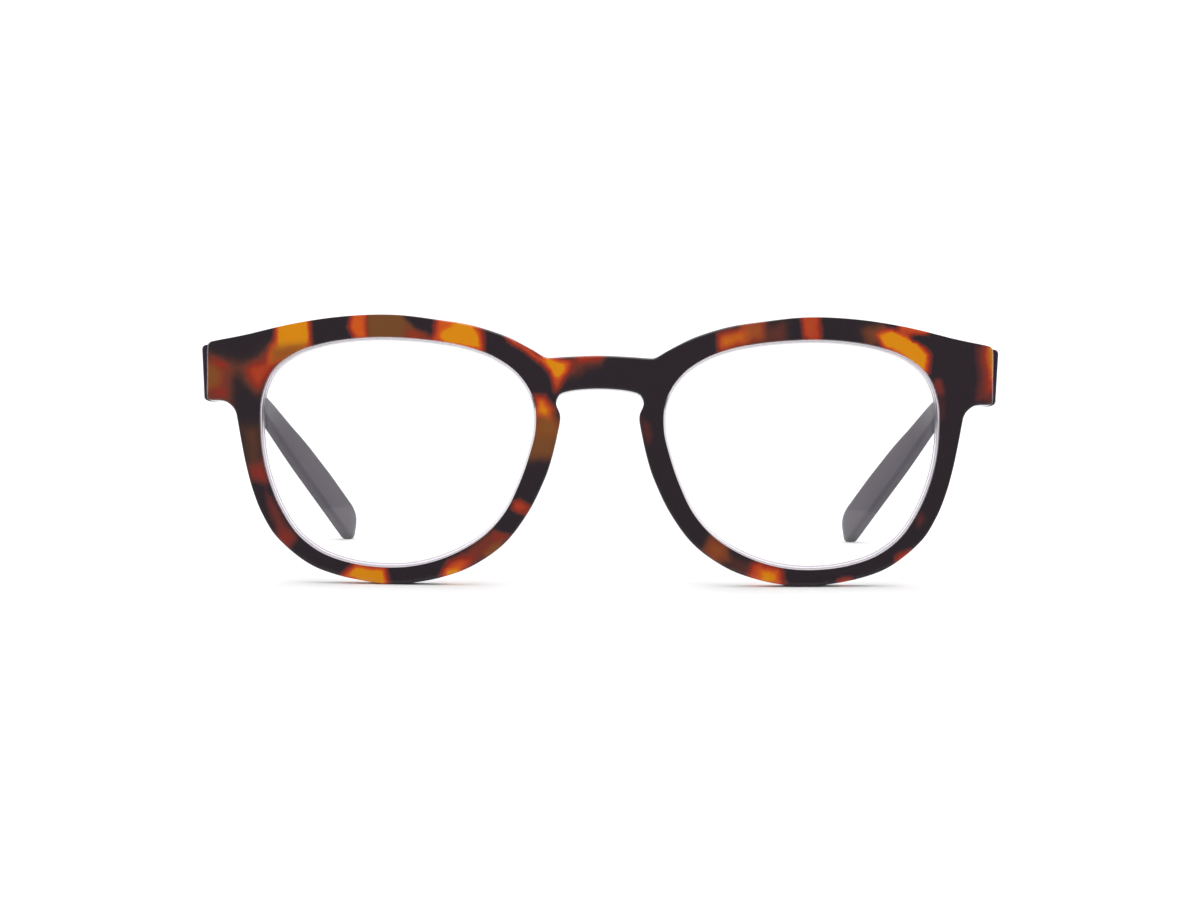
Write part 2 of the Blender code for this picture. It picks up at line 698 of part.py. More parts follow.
def mirrored(mesh):
    """A copy for the right-hand side."""
    copy = mesh.copy()
    copy.transform(Matrix.Diagonal((-1, 1, 1, 1)))
    tidy(copy)
    return copy


def resting_height(point, lean):
    """Height of a point over the level through the origin once the pair leans back."""
    return point.z * math.cos(lean) - point.y * math.sin(lean)


def resting_lean(front, temple):
    """The lean at which rims and temple tips stand on one level."""
    low, high = 0.0, LARGEST_LEAN
    for _ in range(LEAN_HALVINGS):
        lean = (low + high) / 2
        rim = min(resting_height(vertex.co, lean) for vertex in front.vertices)
        tip = min(resting_height(vertex.co, lean) for vertex in temple.vertices)
        if tip > rim:
            low = lean
        else:
            high = lean
    return (low + high) / 2


def flat_footed(mesh, lean, level):
    """The mesh with its foot cut flat at the resting level."""
    upward = Vector((0, -math.sin(lean), math.cos(lean)))
    work = bmesh.new()
    work.from_mesh(mesh)
    everything = work.verts[:] + work.edges[:] + work.faces[:]
    bmesh.ops.bisect_plane(work, geom=everything, plane_co=upward * level, plane_no=upward,
                           clear_inner=True)
    rims = [edge for edge in work.edges if edge.is_boundary]
    bmesh.ops.holes_fill(work, edges=rims, sides=0)
    bmesh.ops.recalc_face_normals(work, faces=work.faces)
    bmesh.ops.triangulate(work, faces=work.faces)
    work.to_mesh(mesh)
    work.free()


def empty(name, place, parent=None):
    made = bpy.data.objects.new(name, None)
    made.location = place
    made.parent = parent
    bpy.context.scene.collection.objects.link(made)
    return made


def piece(name, mesh, finish, parent, pivot):
    """A named object whose mesh, built in the front's frame, hangs on a parent placed at pivot."""
    mesh.name = name
    mesh.transform(Matrix.Translation(-pivot))
    mesh.materials.clear()
    mesh.materials.append(finish)
    mesh.shade_smooth()
    mesh.set_sharp_from_angle(angle=SHARP_ANGLE)
    made = bpy.data.objects.new(name, mesh)
    made.parent = parent
    bpy.context.scene.collection.objects.link(made)
    return made


def left_pieces():
    """Meshes of the left side, by name and body."""
    front_way = Vector((0, -1, 0))
    outer_way = Vector((1, 0, 0))
    up = Vector((0, 0, 1))
    neck_to_front = HINGE_Y - ENDPIECE_BACK + LEAF_THICKNESS / 2
    neck_to_temple = TEMPLE_INNER_X + LEAF_THICKNESS / 2 - HINGE_X
    front_places = front_screw_places()
    temple_places = temple_screw_places()

    front_holes = [screw_hole(place, front_way) for place in front_places.values()]
    temple_holes = [screw_hole(place, outer_way) for place in temple_places.values()]
    front_leaf = hinge_leaf(front_leaf_box(0), FRONT_KNUCKLES, front_way, neck_to_front)
    temple_leaf = hinge_leaf(temple_leaf_box(0), TEMPLE_KNUCKLES, outer_way, neck_to_temple)

    wire_end = TEMPLE_LENGTH - CORE_WIRE_TIP_SETBACK
    bore = rod_mesh(-CUT_OVERRUN, wire_end + CORE_BORE_END_ROOM, CORE_BORE_RADIUS)
    wire = rod_mesh(CORE_WIRE_FRONT_SETBACK, wire_end, CORE_WIRE_RADIUS)
    temple = temple_mesh()

    bottom = HINGE_Z - LEAF_HEIGHT / 2
    top = HINGE_Z + LEAF_HEIGHT / 2
    hinge_screw = screw_mesh(Vector((HINGE_X, HINGE_Y, top)), -up, HINGE_HEAD_RADIUS, HINGE_HEAD_HEIGHT,
                             HINGE_SCREW_RADIUS, top - bottom, outer_way)

    front = {"lens": lens_mesh(1),
             "nose_pad": nose_pad_mesh(),
             "front_hinge_leaf": combined(front_leaf, front_holes, "DIFFERENCE"),
             "hinge_screw": hinge_screw}
    for name, place in front_places.items():
        front["front_leaf_screw_" + name] = leaf_screw(place, front_way, up)
    moving = {"temple": temple,
              "core_wire": wire,
              "temple_hinge_leaf": combined(temple_leaf, temple_holes, "DIFFERENCE")}
    for name, place in temple_places.items():
        moving["temple_leaf_screw_" + name] = leaf_screw(place, outer_way, up)
    cuts = {"front": [front_leaf_box(LEAF_SEAT_GAP)] + front_holes,
            "temple": [bore, temple_leaf_box(LEAF_SEAT_GAP)] + temple_holes}
    return front, moving, cuts


def leaf_screw(place, inward, slot_way):
    return screw_mesh(place, inward, LEAF_SCREW_HEAD_RADIUS, LEAF_SCREW_HEAD_HEIGHT, LEAF_SCREW_RADIUS,
                      LEAF_THICKNESS + LEAF_SCREW_DEPTH, slot_way)


def screw_hole(place, inward):
    """The hole through a leaf and on into what the leaf is screwed to."""
    depth = LEAF_THICKNESS + LEAF_SCREW_DEPTH + LEAF_SEAT_GAP * 2
    return cylinder_mesh(place - inward * CUT_OVERRUN, place + inward * depth, LEAF_SCREW_HOLE_RADIUS)


def finishes():
    return {"front_frame": material("tortoiseshell", (0.16, 0.05, 0.015), 0.12),
            "nose_pad": material("pad_tortoiseshell", (0.20, 0.07, 0.02), 0.15),
            "lens": material("clear_lens", (0.95, 0.95, 0.98), 0.02, transmission=1.0),
            "temple": material("dark_temple", (0.045, 0.032, 0.045), 0.15),
            "core_wire": material("nickel_wire", (0.62, 0.60, 0.56), 0.30, metallic=1.0),
            "leaf": material("hinge_nickel", (0.66, 0.64, 0.60), 0.28, metallic=1.0),
            "screw": material("screw_steel", (0.72, 0.72, 0.74), 0.25, metallic=1.0)}


def finish_of(name, looks):
    if "screw" in name:
        return looks["screw"]
    if "leaf" in name:
        return looks["leaf"]
    return looks[name]


def main():
    clear_scene()
    looks = finishes()
    still, moving, cuts = left_pieces()
    front = front_mesh()
    lean = resting_lean(front, moving["temple"])
    rim_low = min(resting_height(vertex.co, lean) for vertex in front.vertices)
    level = rim_low + FOOT_FLAT_DEPTH
    flat_footed(front, lean, level)
    flat_footed(moving["temple"], lean, level)
    front = combined(front, cuts["front"] + [mirrored(cut) for cut in cuts["front"]], "DIFFERENCE")
    moving["temple"] = combined(moving["temple"], cuts["temple"], "DIFFERENCE")

    both = list(front.vertices) + list(moving["temple"].vertices)
    depths = [vertex.co.y * math.cos(lean) + vertex.co.z * math.sin(lean) for vertex in both]
    middle = (min(depths) + max(depths)) / 2
    glasses = empty("glasses", Vector((0, -middle, -level)))
    glasses.rotation_euler = (-lean, 0, 0)

    origin = Vector((0, 0, 0))
    piece("front_frame", front, looks["front_frame"], glasses, origin)
    for side, word in ((-1, "right"), (1, "left")):
        hinge = Vector((side * HINGE_X, HINGE_Y, HINGE_Z))
        fold = empty(word + "_temple_fold", hinge, glasses)
        for meshes, parent, pivot in ((still, glasses, origin), (moving, fold, hinge)):
            for name, mesh in meshes.items():
                shape = mirrored(mesh) if side < 0 else mesh
                piece(name + "_" + word, shape, finish_of(name, looks), parent, pivot)


main()
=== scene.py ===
import json
import math

import bpy
import bmesh
import numpy as np
from mathutils import Matrix, Vector, noise
from mathutils.geometry import delaunay_2d_cdt


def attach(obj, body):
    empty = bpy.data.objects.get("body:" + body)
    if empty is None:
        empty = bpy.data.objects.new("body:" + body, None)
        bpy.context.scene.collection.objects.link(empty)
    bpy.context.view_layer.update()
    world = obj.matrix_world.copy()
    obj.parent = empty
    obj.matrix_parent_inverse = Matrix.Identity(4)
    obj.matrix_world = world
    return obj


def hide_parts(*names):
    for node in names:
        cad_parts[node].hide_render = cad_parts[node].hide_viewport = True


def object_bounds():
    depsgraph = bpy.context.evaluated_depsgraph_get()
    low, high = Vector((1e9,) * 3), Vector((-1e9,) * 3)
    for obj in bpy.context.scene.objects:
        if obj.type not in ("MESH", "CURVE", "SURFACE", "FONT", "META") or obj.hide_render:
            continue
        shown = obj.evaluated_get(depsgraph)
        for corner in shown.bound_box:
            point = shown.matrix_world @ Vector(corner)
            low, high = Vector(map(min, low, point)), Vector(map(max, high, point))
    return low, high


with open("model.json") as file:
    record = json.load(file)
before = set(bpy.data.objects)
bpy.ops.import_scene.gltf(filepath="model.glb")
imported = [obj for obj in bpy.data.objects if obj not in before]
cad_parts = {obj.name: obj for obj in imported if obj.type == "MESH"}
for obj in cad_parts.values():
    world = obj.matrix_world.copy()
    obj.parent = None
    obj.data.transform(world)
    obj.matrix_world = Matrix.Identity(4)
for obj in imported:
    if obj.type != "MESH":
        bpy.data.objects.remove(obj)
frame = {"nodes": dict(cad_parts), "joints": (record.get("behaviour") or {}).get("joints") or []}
cadLow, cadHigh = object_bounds()
cadNodes = frame["nodes"]
print("frame loaded:", len(cadNodes), "nodes")

# The photograph's view: its frame, the scale at the rims' plane and the height of the eye
photo = {
    "width": 1200,
    "height": 900,
    "pixelsPerMetre": 5701,      # at the plane of the bridge
    "distance": 0.400,           # from the eye to that plane
    "floorRow": 586.8,           # where the rims stand
    "horizonRow": 362,
    "middleColumn": 599.6,
    "roll": 0.36,                # degrees, right side low
    "sensorWidth": 36,           # millimetres
    "clipStart": 0.01,
    "clipEnd": 20,
}


def makeCamera():
    focal = photo["pixelsPerMetre"] * photo["distance"]
    eyeHeight = (photo["floorRow"] - photo["horizonRow"]) / photo["pixelsPerMetre"]
    pitch = math.atan((photo["height"] / 2 - photo["horizonRow"]) / focal)
    aside = (photo["width"] / 2 - photo["middleColumn"]) / photo["pixelsPerMetre"]
    data = bpy.data.cameras.new("camera")
    data.sensor_width = photo["sensorWidth"]
    data.lens = data.sensor_width * focal / photo["width"]
    data.clip_start = photo["clipStart"]
    data.clip_end = photo["clipEnd"]
    camera = bpy.data.objects.new("camera", data)
    camera.location = (aside, cadLow.y - photo["distance"], eyeHeight)
    turn = Matrix.Rotation(math.radians(90) - pitch, 3, "X")
    turn = turn @ Matrix.Rotation(math.radians(photo["roll"]), 3, "Z")
    camera.rotation_euler = turn.to_euler()
    bpy.context.scene.collection.objects.link(camera)
    bpy.context.scene.camera = camera


studio = {
    "floorSize": 6.0,
    "floorColour": (0.93, 0.93, 0.935),
    "floorRoughness": 0.9,
    "worldColour": (1.0, 1.0, 1.0),
    "worldStrength": 1.2,
    "mirroredShare": 0.25,       # of the world's light, as glossy surfaces mirror it
    "softboxSize": 0.9,
    "softboxHeight": 0.8,
    "softboxBack": 0.15,
    "softboxPower": 1.2,
    "glints": (                  # only glossy surfaces mirror these: name, place, size, power
        ("glintAbove", (0.0, 0.35, 0.8), (0.7, 1.6), 11.0),
        ("glintBehind", (0.0, 1.6, 0.5), (3.0, 1.2), 17.0),
        ("glintLeft", (1.1, 0.1, 0.45), (0.9, 0.9), 8.0),
        ("glintRight", (-1.1, 0.1, 0.45), (0.9, 0.9), 8.0),
    ),
}


def makeStudio():
    scene = bpy.context.scene
    world = bpy.data.worlds.new("studio")
    scene.world = world
    world.use_nodes = True
    tree = world.node_tree
    ray = addNode(tree, "ShaderNodeLightPath")
    mirrored = calc(tree, "SUBTRACT", ray.outputs["Is Glossy Ray"], ray.outputs["Is Transmission Ray"])
    dimming = (studio["mirroredShare"] - 1) * studio["worldStrength"]
    strength = calc(tree, "MULTIPLY_ADD", calc(tree, "MAXIMUM", mirrored, 0.0), dimming,
                    studio["worldStrength"])
    fill(tree, tree.nodes["Background"], {"Color": (*studio["worldColour"], 1), "Strength": strength})
    scene.view_settings.view_transform = "Standard"

    floorMesh = bpy.data.meshes.new("floor")
    half = studio["floorSize"] / 2
    floorMesh.from_pydata([(-half, -half, 0), (half, -half, 0), (half, half, 0), (-half, half, 0)],
                          [], [(0, 1, 2, 3)])
    floor = bpy.data.objects.new("floor", floorMesh)
    scene.collection.objects.link(floor)
    floorMesh.materials.append(plainPaint("floorPaper", studio["floorColour"], studio["floorRoughness"]))

    softbox = ("softbox", (0, studio["softboxBack"], studio["softboxHeight"]),
               (studio["softboxSize"], studio["softboxSize"]), studio["softboxPower"])
    for name, place, extent, power in (softbox, *studio["glints"]):
        lamp = bpy.data.lights.new(name, "AREA")
        lamp.shape = "RECTANGLE"
        lamp.size, lamp.size_y = extent
        lamp.energy = power
        light = bpy.data.objects.new(name, lamp)
        light.location = place
        light.rotation_euler = (Vector((0, 0, 0)) - Vector(place)).to_track_quat("-Z", "Y").to_euler()
        light.visible_diffuse = name == "softbox"
        light.visible_transmission = False
        light.visible_camera = False
        scene.collection.objects.link(light)
    print("studio ready")


# Materials

def newPaint(name):
    paint = bpy.data.materials.new(name)
    paint.use_nodes = True
    return paint, paint.node_tree, paint.node_tree.nodes["Principled BSDF"]


def fill(tree, node, values):
    # Gives the node's inputs plain values or links from other nodes
    for key, value in values.items():
        if isinstance(value, bpy.types.NodeSocket):
            tree.links.new(value, node.inputs[key])
        else:
            node.inputs[key].default_value = value


def addNode(tree, kind, values=None, **settings):
    node = tree.nodes.new(kind)
    for key, value in settings.items():
        setattr(node, key, value)
    fill(tree, node, values or {})
    return node


def calc(tree, operation, *values):
    return addNode(tree, "ShaderNodeMath", dict(enumerate(values)), operation=operation).outputs[0]


def plainPaint(name, colour, roughness):
    paint, tree, shader = newPaint(name)
    fill(tree, shader, {"Base Color": (*colour, 1), "Roughness": roughness})
    return paint


def ramp(tree, value, tones, places):
    # The tones, by name, each at its place
    node = addNode(tree, "ShaderNodeValToRGB", {"Fac": value})
    points = node.color_ramp.elements
    while len(points) < len(places):
        points.new(1.0)
    for point, (key, place) in zip(points, places):
        point.position = place
        point.color = (*tones[key], 1)
    return node.outputs["Color"]


def speckle(tree, cloudLook):
    # A noise over the object: its scale, detail, roughness and stretch
    scale, detail, roughness, stretch = cloudLook
    place = addNode(tree, "ShaderNodeTexCoord").outputs["Object"]
    mapping = addNode(tree, "ShaderNodeMapping", {"Scale": stretch, "Vector": place})
    return addNode(tree, "ShaderNodeTexNoise", {
        "Scale": scale, "Detail": detail, "Roughness": roughness,
        "Vector": mapping.outputs["Vector"]}).outputs["Fac"]


def mixColours(tree, share, first, second):
    return addNode(tree, "ShaderNodeMix", {"Factor": share, 6: first, 7: second},
                   data_type="RGBA").outputs[2]


acetate = {
    "dark": (0.0190, 0.0132, 0.0172),
    "redBrown": (0.110, 0.022, 0.018),
    "deepRed": (0.225, 0.018, 0.010),
    "redOrange": (0.407, 0.048, 0.012),
    "orange": (0.533, 0.088, 0.004),
    "amber": (0.570, 0.202, 0.001),
    "olive": (0.148, 0.060, 0.014),
    "tonePlaces": (("dark", 0.05), ("redBrown", 0.22), ("deepRed", 0.40), ("redOrange", 0.62),
                   ("orange", 0.76), ("amber", 0.86)),
    "roughness": 0.10,
    "specular": 0.25,
    "grain": (300.0, 4.0, 0.6, (1, 0.4, 0.35)),      # fine streaks in the amber
    "grainDepth": 0.09,
}


def acetatePaint(name):
    paint, tree, shader = newPaint(name)
    pattern = addNode(tree, "ShaderNodeAttribute", attribute_name="shell")
    parts = addNode(tree, "ShaderNodeSeparateColor", {"Color": pattern.outputs["Color"]})
    cloud = speckle(tree, acetate["grain"])
    shift = calc(tree, "MULTIPLY", calc(tree, "SUBTRACT", cloud, 0.5), acetate["grainDepth"] * 2)
    tone = calc(tree, "ADD", parts.outputs["Red"], shift)
    colour = ramp(tree, tone, acetate, acetate["tonePlaces"])
    colour = mixColours(tree, parts.outputs["Green"], colour, (*acetate["olive"], 1))
    fill(tree, shader, {"Base Color": colour, "Roughness": acetate["roughness"],
                        "Specular IOR Level": acetate["specular"]})
    return paint


lensLook = {
    "ior": 1.49,
    "lineColour": (0.50, 0.46, 0.48),      # the thin line where the bevel starts
    "bevelColour": (0.82, 0.79, 0.86),
    "rimShadeColour": (0.44, 0.41, 0.44),       # painted shade beside the rim, where the rim wall shades the bevel
    "ringPlaces": (("lineColour", 0.25), ("bevelColour", 0.40), ("bevelColour", 0.65), ("rimShadeColour", 0.80)),
    "bevelRoughness": 0.12,
}


def lensPaints():
    clear = {"IOR": lensLook["ior"], "Transmission Weight": 1.0}
    paint, tree, shader = newPaint("lensGlass")
    fill(tree, shader, {"Base Color": (1, 1, 1, 1), "Roughness": 0.0, **clear})
    bevel, tree, shader = newPaint("lensBevel")
    outwards = addNode(tree, "ShaderNodeAttribute", attribute_name="outwards").outputs["Fac"]
    # The ring's tint across its width, ending in painted shade beside the rim
    colour = ramp(tree, outwards, lensLook, lensLook["ringPlaces"])
    fill(tree, shader, {"Base Color": colour, "Roughness": lensLook["bevelRoughness"], **clear})
    return paint, bevel


templeLook = {
    "colour": (0.0155, 0.0095, 0.0210),
    "cloudColour": (0.0260, 0.0165, 0.0310),
    "cloudPlaces": (("colour", 0.40), ("cloudColour", 0.75)),
    "cloud": (60.0, 4.0, 0.55, (1, 0.35, 1)),
    "roughness": 0.45,
    "specular": 0.34,
    "tint": (0.92, 0.74, 1.0),
}


def templePaint():
    paint, tree, shader = newPaint("templeAcetate")
    colour = ramp(tree, speckle(tree, templeLook["cloud"]), templeLook, templeLook["cloudPlaces"])
    fill(tree, shader, {"Base Color": colour, "Roughness": templeLook["roughness"],
                        "Specular IOR Level": templeLook["specular"],
                        "Specular Tint": (*templeLook["tint"], 1)})
    return paint


# The front: the same named sizes as the solids are made from, in metres

front = {
    "lensWidth": 0.04935,
    "lensHeight": 0.0408,
    "bridgeGap": 0.0224,
    "rimTop": 0.0040,
    "rimBottom": 0.00285,
    "rimSide": 0.0042,
    "endpieceLength": 0.0057,
    "thickness": 0.0040,
    "endpieceThickness": 0.0042,
    "endpieceStep": 0.0010,
    "bowRadius": 0.4000,
    "outerRound": 0.0003,
    "noseRound": 0.0008,         # the top edge over the nose
    "noseReach": 0.0340,
    "noseFade": 4,               # power of the share of that reach
    "noseFacing": (0.3, 0.8),    # how far up an edge faces where its rounding starts and is full
    "sideRound": 0.0005,         # the ends of the front, over their last share
    "sideShare": 0.125,
    "openingRound": 0.00015,
    "roundSteps": 5,
    "turnReach": 3,              # outline points to each side that a turn is measured over
    "tightShare": 0.6,           # of the turn's radius, at most
    "roundSmoothings": 6,
    "outlineStep": 0.00045,
    "faceStep": 0.00055,
    "rowShare": 0.866,           # of that step between the rows of face points
    "edgeClearShare": 0.7,       # of it between them and an edge
    "seatStep": 0.0006,
    "grooveReach": 0.0008,
    "grooveHalf": 0.0008,
    "endpieceFoot": 0.600,       # share of the front's height, as the next
    "endpieceShoulder": 0.665,
    "bridgeTop": ((0.0, 0.8499), (0.494, 0.8455), (0.755, 0.8416), (0.88, 0.8446)),
    "brow": ((0.029, 0.8783), (0.114, 0.922), (0.231, 0.9603), (0.348, 0.9803), (0.522, 1.0),
             (0.699, 0.9947), (0.875, 0.9698), (1.055, 0.9291)),
    "endpiece": ((0.864, 0.9064), (0.962, 0.8993), (1.0, 0.8781), (0.996, 0.7759), (0.992, 0.7003),
                 (0.951, 0.6841), (0.746, 0.6819), (0.622, 0.6754), (0.507, 0.6566), (0.448, 0.6356),
                 (0.419, 0.6105), (0.336, 0.5216), (0.242, 0.434), (0.115, 0.3436)),
    "cheek": ((0.987, 0.2552), (0.93, 0.1669), (0.823, 0.0773), (0.713, 0.0315), (0.572, 0.003),
              (0.518, 0.0), (0.458, 0.001), (0.344, 0.0222), (0.227, 0.0662), (0.112, 0.1496),
              (0.028, 0.2638)),
    "keyhole": ((0.869, 0.3853), (0.746, 0.4721), (0.657, 0.5642), (0.624, 0.6087), (0.631, 0.6338),
                (0.671, 0.6547), (0.689, 0.6753), (0.656, 0.6957), (0.591, 0.7092), (0.367, 0.7207),
                (0.0, 0.7257)),
    "opening": ((0.1245, 1.0), (0.3354, 0.9873), (0.5441, 0.948), (0.7446, 0.8691),
                (0.911, 0.7154), (0.9906, 0.4817), (0.9985, 0.2267), (0.9776, -0.0275),
                (0.9224, -0.2738), (0.8357, -0.5067), (0.7153, -0.7159), (0.5473, -0.8688),
                (0.3492, -0.9559), (0.1406, -0.9951), (-0.0705, -0.9941), (-0.2775, -0.9451),
                (-0.4727, -0.8483), (-0.6481, -0.7067), (-0.7849, -0.5132), (-0.878, -0.2841),
                (-0.9484, -0.0432), (-0.9958, 0.2055), (-0.9798, 0.4585), (-0.8718, 0.6754),
                (-0.7016, 0.8249), (-0.504, 0.9142), (-0.2967, 0.9629), (-0.0866, 0.9898)),
}
hinge = {
    "heightShare": 0.794,
    "leafHeight": 0.0066,
    "leafThickness": 0.0008,
    "frontLeafWidth": 0.0046,
    "templeLeafLength": 0.0090,
    "seatGap": 0.00015,
    "knuckleRadius": 0.00125,
    "knuckleGap": 0.00012,
    "clearance": 0.0002,
}
temple = {
    "length": 0.1400,
    "tipLength": 0.0500,
    "bendLength": 0.0260,
    "straightStart": 0.0120,
    "proud": 0.0018,
    "frontThickness": 0.0036,
    "frontHeight": 0.0102,
    "tipThickness": 0.0026,
    "tipHeight": 0.0060,
    "cornerRound": 0.0008,
    "cornerShare": 0.95,         # of the smaller half of the section, at most
    "buttGap": 0.0003,
    "tipDrop": 30.0,             # degrees
    "tipInward": 20.0,
    "splay": 1.8,
    "bow": 1.2,
    "splayEase": 0.25,
    "stationStep": 0.0012,
    "walkStep": 0.00065,
    "cornerSteps": 5,
    "endRound": 0.0003,
    "endStations": 5,
    "tipStations": 12,
    "tipTurn": 88.5,             # degrees of the round end that the last ring reaches
    "cutOverrun": 0.001,
    "endThin": 0.0004,           # the front end is this much thinner outside
    "endThinLength": 0.0150,
    "endRoll": 3.5,              # degrees that the front end leans outwards
    "rollLength": 0.0600,
    "paddleStart": 0.1030,
    "paddleLength": 0.0200,
    "paddleLift": 0.0006,
    "topEndShare": 1.8,          # how much longer the end rounds above than below
    "waistStart": 0.0010,        # between the hinge and the tip the arm is less high
    "waistLength": 0.0200,
    "waistEnd": 0.0800,
    "waistFade": 0.0350,
    "waistBelow": 0.0010,
    "waistAbove": 0.0013,
}

nasalEdge = front["bridgeGap"] / 2
temporalEdge = nasalEdge + front["lensWidth"]
lensCentreX = nasalEdge + front["lensWidth"] / 2
endSpan = front["rimSide"] + front["endpieceLength"]
halfWidth = temporalEdge + endSpan
frontHeight = front["rimBottom"] + front["lensHeight"] + front["rimTop"]
lensCentreZ = front["rimBottom"] + front["lensHeight"] / 2
thickStart = temporalEdge + front["grooveReach"]


def bow(across):
    return across * across / (2 * front["bowRadius"])


endpieceBack = bow(halfWidth) + front["endpieceThickness"]
hingeZ = hinge["heightShare"] * frontHeight
templeInnerX = halfWidth + temple["proud"] - temple["frontThickness"]
hingeX = templeInnerX - hinge["knuckleRadius"] - hinge["knuckleGap"]
hingeY = endpieceBack + hinge["knuckleRadius"] + hinge["clearance"]

# Where the upright front stands once the pair leans back on its rims and tips
leftFold = [joint for joint in frame["joints"] if joint["name"] == "left_temple_fold"][0]
leaned = Matrix.Rotation(-math.atan2(leftFold["axis"][1], leftFold["axis"][2]), 4, "X")
standing = Matrix.Translation(Vector(leftFold["pos_m"]) - leaned @ Vector((hingeX, hingeY, hingeZ))) @ leaned


def smoothShare(value):
    held = np.clip(value, 0.0, 1.0)
    return held * held * (3 - 2 * held)


def smoothLoop(knots, step):
    # A smooth closed curve through the knots, as points about a step apart
    points = []
    count = len(knots)
    for index in range(count):
        before, start, end, after = (np.array(knots[(index + shift) % count]) for shift in (-1, 0, 1, 2))
        pieces = max(1, round(float(np.linalg.norm(end - start)) / step))
        for piece in range(pieces):
            share = piece / pieces
            points.append((start * 2 + (end - before) * share
                           + (before * 2 - start * 5 + end * 4 - after) * share ** 2
                           + (start * 3 - before - end * 3 + after) * share ** 3) / 2)
    return np.array(points)


def stretch(shares, start, span):
    # Shares of a width and of the front's height, as places
    return [(start + across * span, up * frontHeight) for across, up in shares]


def frontOutline(step):
    half = stretch(front["bridgeTop"], 0, nasalEdge)
    half += stretch(front["brow"], nasalEdge, front["lensWidth"])
    half += stretch(front["endpiece"], temporalEdge, endSpan)
    half += stretch(front["cheek"], nasalEdge, front["lensWidth"])
    half += stretch(front["keyhole"], 0, nasalEdge)
    other = [(-across, up) for across, up in reversed(half[1:-1])]
    return smoothLoop(half + other, step)[::-1]


def onSide(side, points):
    return points if side > 0 else (points * (-1, 1))[::-1]


def openingOutline(side, step):
    knots = [(lensCentreX + across * front["lensWidth"] / 2, lensCentreZ + up * front["lensHeight"] / 2)
             for across, up in front["opening"]]
    return onSide(side, smoothLoop(knots, step))


def leftHand(points):
    # At each point of a loop, the way across it to the left
    arriving = points - np.roll(points, 1, axis=0)
    leaving = np.roll(points, -1, axis=0) - points
    arriving /= np.linalg.norm(arriving, axis=1)[:, None]
    leaving /= np.linalg.norm(leaving, axis=1)[:, None]
    along = arriving + leaving
    along /= np.linalg.norm(along, axis=1)[:, None]
    return np.stack([-along[:, 1], along[:, 0]], axis=1)


def roundRadius(points, radius):
    # A smaller rounding where the outline itself turns tightly
    reach = front["turnReach"]
    before = points - np.roll(points, reach, axis=0)
    after = np.roll(points, -reach, axis=0) - points
    turn = before[:, 0] * after[:, 1] - before[:, 1] * after[:, 0]
    angle = np.arctan2(np.abs(turn), (before * after).sum(axis=1))
    length = (np.linalg.norm(before, axis=1) + np.linalg.norm(after, axis=1)) / 2
    held = np.minimum(radius, front["tightShare"] * length / np.maximum(angle, 1e-6))
    for _ in range(front["roundSmoothings"]):
        held = np.minimum(held, (np.roll(held, 1) + held + np.roll(held, -1)) / 3)
    return held


def frontPlace(points, depth):
    # From the flat outline to the bowed front, thicker at its endpieces
    across, up = points[:, 0], points[:, 1]
    face = bow(across)
    thick = smoothShare((np.abs(across) - thickStart) / front["endpieceStep"])
    foot, shoulder = front["endpieceFoot"] * frontHeight, front["endpieceShoulder"] * frontHeight
    thick = thick * smoothShare((up - foot) / (shoulder - foot))
    extra = (endpieceBack - front["thickness"] - face) * thick
    return np.stack([across, face + depth + extra * depth / front["thickness"], up], axis=1)


def insideLoop(points, loop):
    found = np.zeros(len(points), dtype=bool)
    for start, end in zip(np.roll(loop, 1, axis=0), loop):
        if start[1] == end[1]:
            continue
        crosses = (start[1] > points[:, 1]) != (end[1] > points[:, 1])
        share = (points[:, 1] - start[1]) / (end[1] - start[1])
        found ^= crosses & (points[:, 0] < start[0] + share * (end[0] - start[0]))
    return found


def loopEdges(first, count):
    return [(first + index, first + (index + 1) % count) for index in range(count)]


class Shell:
    # A mesh in the making: its places, and the faces between rings of them
    def __init__(self):
        self.places = []
        self.count = 0
        self.faces = []

    def add(self, places):
        self.places.append(np.asarray(places, dtype=float))
        first = self.count
        self.count += len(places)
        return list(range(first, self.count))

    def band(self, ring, following):
        count = len(ring)
        for index in range(count):
            after = (index + 1) % count
            self.faces.append((ring[index], ring[after], following[after], following[index]))

    def bands(self, rings):
        for ring, following in zip(rings, rings[1:]):
            self.band(ring, following)

    def mesh(self, name):
        made = bpy.data.meshes.new(name)
        made.from_pydata(np.concatenate(self.places).tolist(), [], self.faces)
        turnOutwards(made)
        return made


def turnOutwards(mesh):
    work = bmesh.new()
    work.from_mesh(mesh)
    bmesh.ops.recalc_face_normals(work, faces=work.faces)
    work.to_mesh(mesh)
    work.free()


